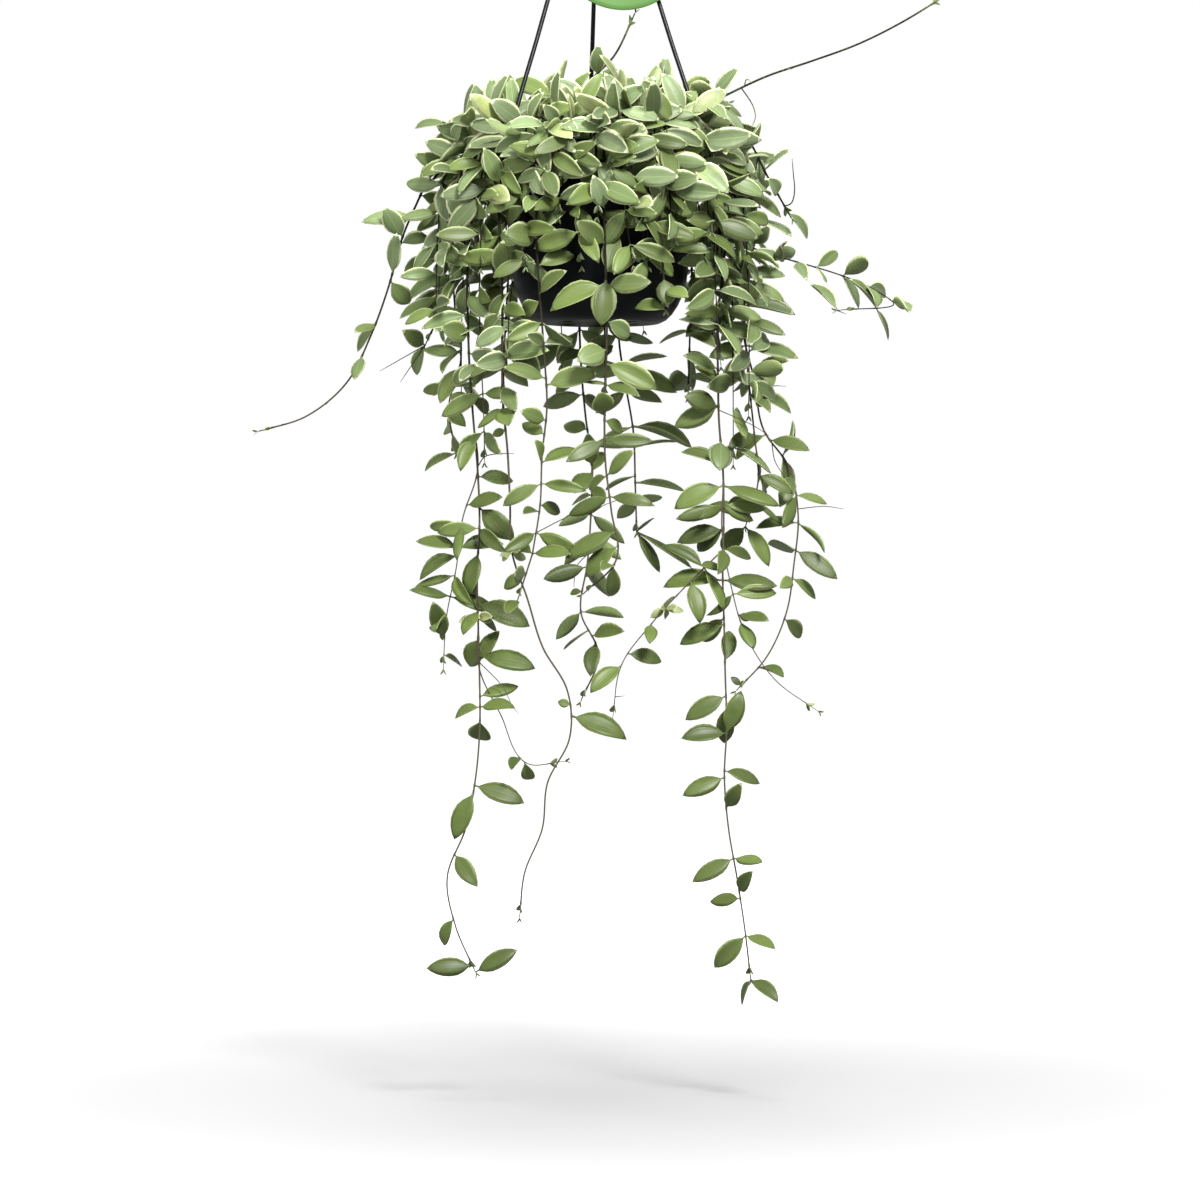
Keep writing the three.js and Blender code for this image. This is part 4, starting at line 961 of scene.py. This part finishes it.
SOIL_PROFILE = (
    (0, -122.9), (41.2, -122.9), (50.4, -116.3), (56.9, -104.9), (60.2, -93.8), (68.0, -19), (67, -15.5),
    (63, -14), (57, -13.5), (51, -13), (45, -12.6), (39, -12.2), (33, -12), (27, -11.8), (21, -11.6), (15, -11.4),
    (9, -11.2), (4, -11), (0, -11),
)
medium_finish = bark_and_peat()
medium = lathed("bark_medium", SOIL_PROFILE, 60, medium_finish)
for corner in medium.data.vertices:
    if corner.co.z > RIM_Z - 16 * MM:
        corner.co.z += 2.2 * MM * noise.noise(corner.co / (6 * MM)) + 1.0 * MM * noise.noise(corner.co / (2.5 * MM))


def chip_mesh(name, seed):
    """A chip of bark: a flat broken block with uneven corners."""
    dice = random.Random(seed)
    form = bmesh.new()
    bmesh.ops.create_icosphere(form, subdivisions=1, radius=1)
    for corner in form.verts:
        corner.co = Vector((corner.co.x * 1.0, corner.co.y * 0.62, corner.co.z * 0.34)) * dice.uniform(0.75, 1.15)
    mesh = bpy.data.meshes.new(name)
    form.to_mesh(mesh)
    form.free()
    return mesh


def scatter_tree():
    """Geometry Nodes that strew chips on what faces up, each turned and sized at random, and keep the ground."""
    tree = bpy.data.node_groups.new("strewn_chips", "GeometryNodeTree")
    for name, kind in (("Ground", "Geometry"), ("Chips", "Collection"), ("Chips per square metre", "Float"),
                       ("Smallest", "Float"), ("Largest", "Float"), ("Seed", "Int"), ("Finish", "Material")):
        tree.interface.new_socket(name, in_out="INPUT", socket_type=f"NodeSocket{kind}")
    tree.interface.new_socket("Ground", in_out="OUTPUT", socket_type="NodeSocketGeometry")
    given = add_node(tree, "NodeGroupInput").outputs
    normal = add_node(tree, "ShaderNodeSeparateXYZ", {0: add_node(tree, "GeometryNodeInputNormal").outputs[0]})
    faces_up = add_node(tree, "FunctionNodeCompare", {0: normal.outputs["Z"], 1: 0.7}, operation="GREATER_THAN")
    spots = add_node(tree, "GeometryNodeDistributePointsOnFaces", {
        "Mesh": given["Ground"], "Selection": faces_up.outputs[0], "Density": given["Chips per square metre"],
        "Seed": given["Seed"],
    })
    turn = add_node(tree, "FunctionNodeRandomValue", {0: (-0.5, -0.5, 0), 1: (0.5, 0.5, math.tau), "Seed": 3},
                    data_type="FLOAT_VECTOR").outputs[0]
    size = add_node(tree, "FunctionNodeRandomValue", {2: given["Smallest"], 3: given["Largest"], "Seed": 5},
                    data_type="FLOAT").outputs[1]
    chips = add_node(tree, "GeometryNodeCollectionInfo", {
        "Collection": given["Chips"], "Separate Children": True, "Reset Children": True,
    }).outputs[0]
    strewn = add_node(tree, "GeometryNodeInstanceOnPoints", {
        "Points": spots.outputs["Points"], "Instance": chips, "Pick Instance": True, "Rotation": turn, "Scale": size,
    }).outputs[0]
    strewn = add_node(tree, "GeometryNodeRealizeInstances", {"Geometry": strewn}).outputs[0]
    both = add_node(tree, "GeometryNodeJoinGeometry")
    tree.links.new(given["Ground"], both.inputs[0])
    tree.links.new(strewn, both.inputs[0])
    out = add_node(tree, "GeometryNodeSetMaterial", {"Geometry": both.outputs[0], "Material": given["Finish"]}).outputs[0]
    add_node(tree, "NodeGroupOutput", {0: out})
    return tree


chips = bpy.data.collections.new("chips")
for number in range(4):
    chips.objects.link(bpy.data.objects.new(f"chip_{number}", chip_mesh(f"chip_{number}", number)))
strewn_chips = scatter_tree()
strew = medium.modifiers.new("strew", "NODES")
strew.node_group = strewn_chips
set_inputs(strew, strewn_chips, {
    "Chips": chips, "Chips per square metre": 26000.0, "Smallest": 2.5 * MM, "Largest": 5.5 * MM, "Seed": 4,
    "Finish": medium_finish,
})
medium = plain_copy(medium, "bark_medium")
dressed(medium, "soil", "soil")
for chip in list(chips.objects):
    bpy.data.objects.remove(chip)
bpy.data.collections.remove(chips)


# ---------------------------------------------------------------------------------------------------
# Hanger and tag
# ---------------------------------------------------------------------------------------------------

hanger_plastic = moulded_plastic("moulded_nylon_black", ("#0E0F11", "#15171A"), 0.36)
COLLAR_RISE = 250
HOOK_BEND = 14
ROD_OUT = 78.9
ROD_AZIMUTHS = {"right": -24, "left": -144, "back": 96}


def rounded_box(name, low, high, turn, finish, edge=0.8):
    """A box with rounded edges, between two corners in millimetres from the rim, turned about the pot's axis."""
    form = bmesh.new()
    bmesh.ops.create_cube(form, size=1)
    for corner in form.verts:
        place = [a + (b - a) * (c + 0.5) for a, b, c in zip(low, high, corner.co)]
        angle = math.radians(turn)
        x = place[0] * math.cos(angle) - place[1] * math.sin(angle)
        y = place[0] * math.sin(angle) + place[1] * math.cos(angle)
        corner.co = at_rim(x, y, place[2])
    bmesh.ops.bevel(form, geom=form.edges, offset=edge * MM, segments=3, affect="EDGES", profile=0.5)
    mesh = bpy.data.meshes.new(name)
    form.to_mesh(mesh)
    form.free()
    return new_piece(name, mesh, finish)


def swept_wire(name, points, radius, finish, sides=16):
    """A round wire along these points, made by the same nodes as the stems."""
    base = stem_base(name, [Strand(points, radius, radius)], [])
    sweep = base.modifiers.new("sweep", "NODES")
    sweep.node_group = leafy_stem
    set_inputs(sweep, leafy_stem, {"Stem sides": sides, "Stem finish": finish})
    return plain_copy(base, name)


def joined(name, *pieces):
    """Several pieces as one mesh."""
    form = bmesh.new()
    finish = pieces[0].data.materials[0]
    for piece in pieces:
        form.from_mesh(piece.data)
        bpy.data.objects.remove(piece)
    for face in form.faces:
        face.material_index = 0
    mesh = bpy.data.meshes.new(name)
    form.to_mesh(mesh)
    form.free()
    return new_piece(name, mesh, finish)


loop = [at_rim(0, 0, COLLAR_RISE + 2), at_rim(0, 0, COLLAR_RISE + 8), at_rim(0, 0, COLLAR_RISE + 12)]
loop += [polar_point for polar_point in (
    at_rim(HOOK_BEND * math.cos(math.radians(a)), 0, 276 + HOOK_BEND * math.sin(math.radians(a)))
    for a in range(-60, 211, 30)
)]
wire = swept_wire("hook_wire", smooth_line(loop, 1.5 * MM), 2 * MM, hanger_plastic)
collar = lathed("hook_collar", (
    (0, -5), (6.4, -5), (7.6, -4.6), (8.6, -3.6), (9, -2.4), (9, 2.2), (8.6, 3.3), (7.6, 4.2), (5, 5.2), (3.6, 6.4),
    (3, 8), (2.4, 9.4), (0, 9.6),
), 32, hanger_plastic, (0, 0, RIM_Z + COLLAR_RISE * MM))
dressed(joined("hook_and_collar", wire, collar), "hanger", "hanger_hook")

for side, azimuth in ROD_AZIMUTHS.items():
    corners = [
        polar(4.2, azimuth, COLLAR_RISE - 6), polar(12, azimuth, COLLAR_RISE - 30), polar(33, azimuth, 145),
        polar(54, azimuth, 80), polar(70, azimuth, 34), polar(ROD_OUT, azimuth, 5), polar(ROD_OUT, azimuth, -9.6),
    ]
    rod = swept_wire(f"rod_{side}_wire", smooth_line(corners, 4 * MM), 1.6 * MM, hanger_plastic, 12)
    toe = rounded_box("rod_toe", (73.8, -2, -11.2), (ROD_OUT + 1.6, 2, -8.3), azimuth, hanger_plastic)
    grip = rounded_box("rod_grip", (77.6, -2.4, -2.5), (ROD_OUT + 1.9, 2.4, 6.5), azimuth, hanger_plastic)
    dressed(joined(f"rod_{side}", rod, toe, grip), "hanger", f"hanger_rod_{side}")

# The tag is a round card of satin green plastic, left bare, with a raised edge and a clip behind
tag_plastic = moulded_plastic("satin_polystyrene_green", ("#50763A", "#598340"), 0.45)
TAG_CENTRE = (17, -26, 147)
TAG_PROFILE = (
    (0, -0.45), (45.6, -0.45), (46.2, -0.6), (49.3, -0.6), (49.8, -0.35), (50, 0), (49.8, 0.35), (49.3, 0.6), (0, 0.6),
)
disc = lathed("tag_disc", TAG_PROFILE, 96, tag_plastic, (0, 0, 0))
for corner in disc.data.vertices:
    x, y, z = corner.co / MM
    corner.co = at_rim(TAG_CENTRE[0] + x, TAG_CENTRE[1] + z, TAG_CENTRE[2] - y)
x, y, z = TAG_CENTRE
clip = rounded_box("tag_clip", (x + 9.4, y + 0.4, z - 11), (x + 18.4, y + 17.5, z - 1), 0, tag_plastic, 1.2)
dressed(joined("tag_card", disc, clip), "tag", "tag")


# ---------------------------------------------------------------------------------------------------
# Stage, lights and camera
# ---------------------------------------------------------------------------------------------------


def area_light(name, place, target, width, length, watts):
    lamp = bpy.data.lights.new(name, "AREA")
    lamp.shape, lamp.size, lamp.size_y, lamp.energy = "ELLIPSE", width, length, watts
    light = bpy.data.objects.new(name, lamp)
    light.location = place
    light.rotation_euler = (Vector(target) - Vector(place)).to_track_quat("-Z", "Y").to_euler()
    # only the key lamp shines in the wax: the others would put glare along the far edges of the blades
    light.visible_glossy = name == "key"
    bpy.context.scene.collection.objects.link(light)


floor_finish, floor_nodes, floor_shader = new_finish("white_studio_paper", 0.9)
floor_shader.inputs["Base Color"].default_value = (0.38, 0.38, 0.38, 1)
floor_shader.inputs["Emission Color"].default_value = (1, 1, 1, 1)
# the paper far off is lit by itself, so that it stays as white as the surround
far = add_node(floor_nodes, "ShaderNodeVectorMath", {0: add_node(floor_nodes, "ShaderNodeTexCoord").outputs["Object"],
                                                     1: (0, 0, 0.972)}, operation="ADD").outputs[0]
far = add_node(floor_nodes, "ShaderNodeVectorMath", {0: far}, operation="LENGTH").outputs["Value"]
lit = maths(floor_nodes, "MULTIPLY", smooth_step(floor_nodes, far, 0.2, 1.4), 0.95)
floor_nodes.links.new(lit, floor_shader.inputs["Emission Strength"])
form = bmesh.new()
bmesh.ops.create_circle(form, cap_ends=True, segments=96, radius=14)
bmesh.ops.translate(form, verts=form.verts, vec=(0, 0, -0.972))
floor_mesh = bpy.data.meshes.new("studio_floor")
form.to_mesh(floor_mesh)
form.free()
floor = new_piece("studio_floor", floor_mesh, floor_finish, smooth=False)
# it throws no light back, so that the undersides of leaves stay as dark as they are in the photograph
floor.visible_diffuse = floor.visible_glossy = False

# a white surround that only the camera sees, so that the lamps alone set how the part is lit
surround_finish, _, surround_shader = new_finish("white_surround", 1.0)
surround_shader.inputs["Base Color"].default_value = (0, 0, 0, 1)
surround_shader.inputs["Emission Color"].default_value = (1, 1, 1, 1)
surround_shader.inputs["Emission Strength"].default_value = 1.0
for finish in (floor_finish, surround_finish):
    finish.cycles.emission_sampling = "NONE"
form = bmesh.new()
bmesh.ops.create_icosphere(form, subdivisions=3, radius=30)
surround_mesh = bpy.data.meshes.new("white_surround")
form.to_mesh(surround_mesh)
form.free()
surround = new_piece("white_surround", surround_mesh, surround_finish)
surround.visible_diffuse = surround.visible_glossy = surround.visible_shadow = surround.visible_transmission = False

world = bpy.data.worlds.new("studio")
bpy.context.scene.world = world
world.use_nodes = True
world.node_tree.nodes["Background"].inputs["Color"].default_value = (1, 1, 1, 1)
world.node_tree.nodes["Background"].inputs["Strength"].default_value = 0.36
middle = (0, 0, -0.5)
area_light("key", (0.9, -2.3, 1.3), middle, 0.8, 0.8, 132)
area_light("fill", (-1.8, -1.6, 0.2), middle, 1.2, 1.2, 32)
area_light("back", (-0.8, 2.2, 0.7), middle, 1.2, 1.2, 55)
# the long lamp overhead gives the soft shadow on the floor its shape
area_light("top", (0, -0.1, 1.9), middle, 0.75, 2.4, 76)

camera = bpy.data.objects.new("camera", bpy.data.cameras.new("camera"))
camera.location = (0, -3.0, -0.612)
camera.rotation_euler = (math.radians(90), 0, 0)
camera.data.angle = 2 * math.atan(0.432 / 3.0)
camera.data.clip_end = 60
bpy.context.scene.collection.objects.link(camera)
bpy.context.scene.camera = camera
bpy.context.scene.view_settings.view_transform = "Standard"
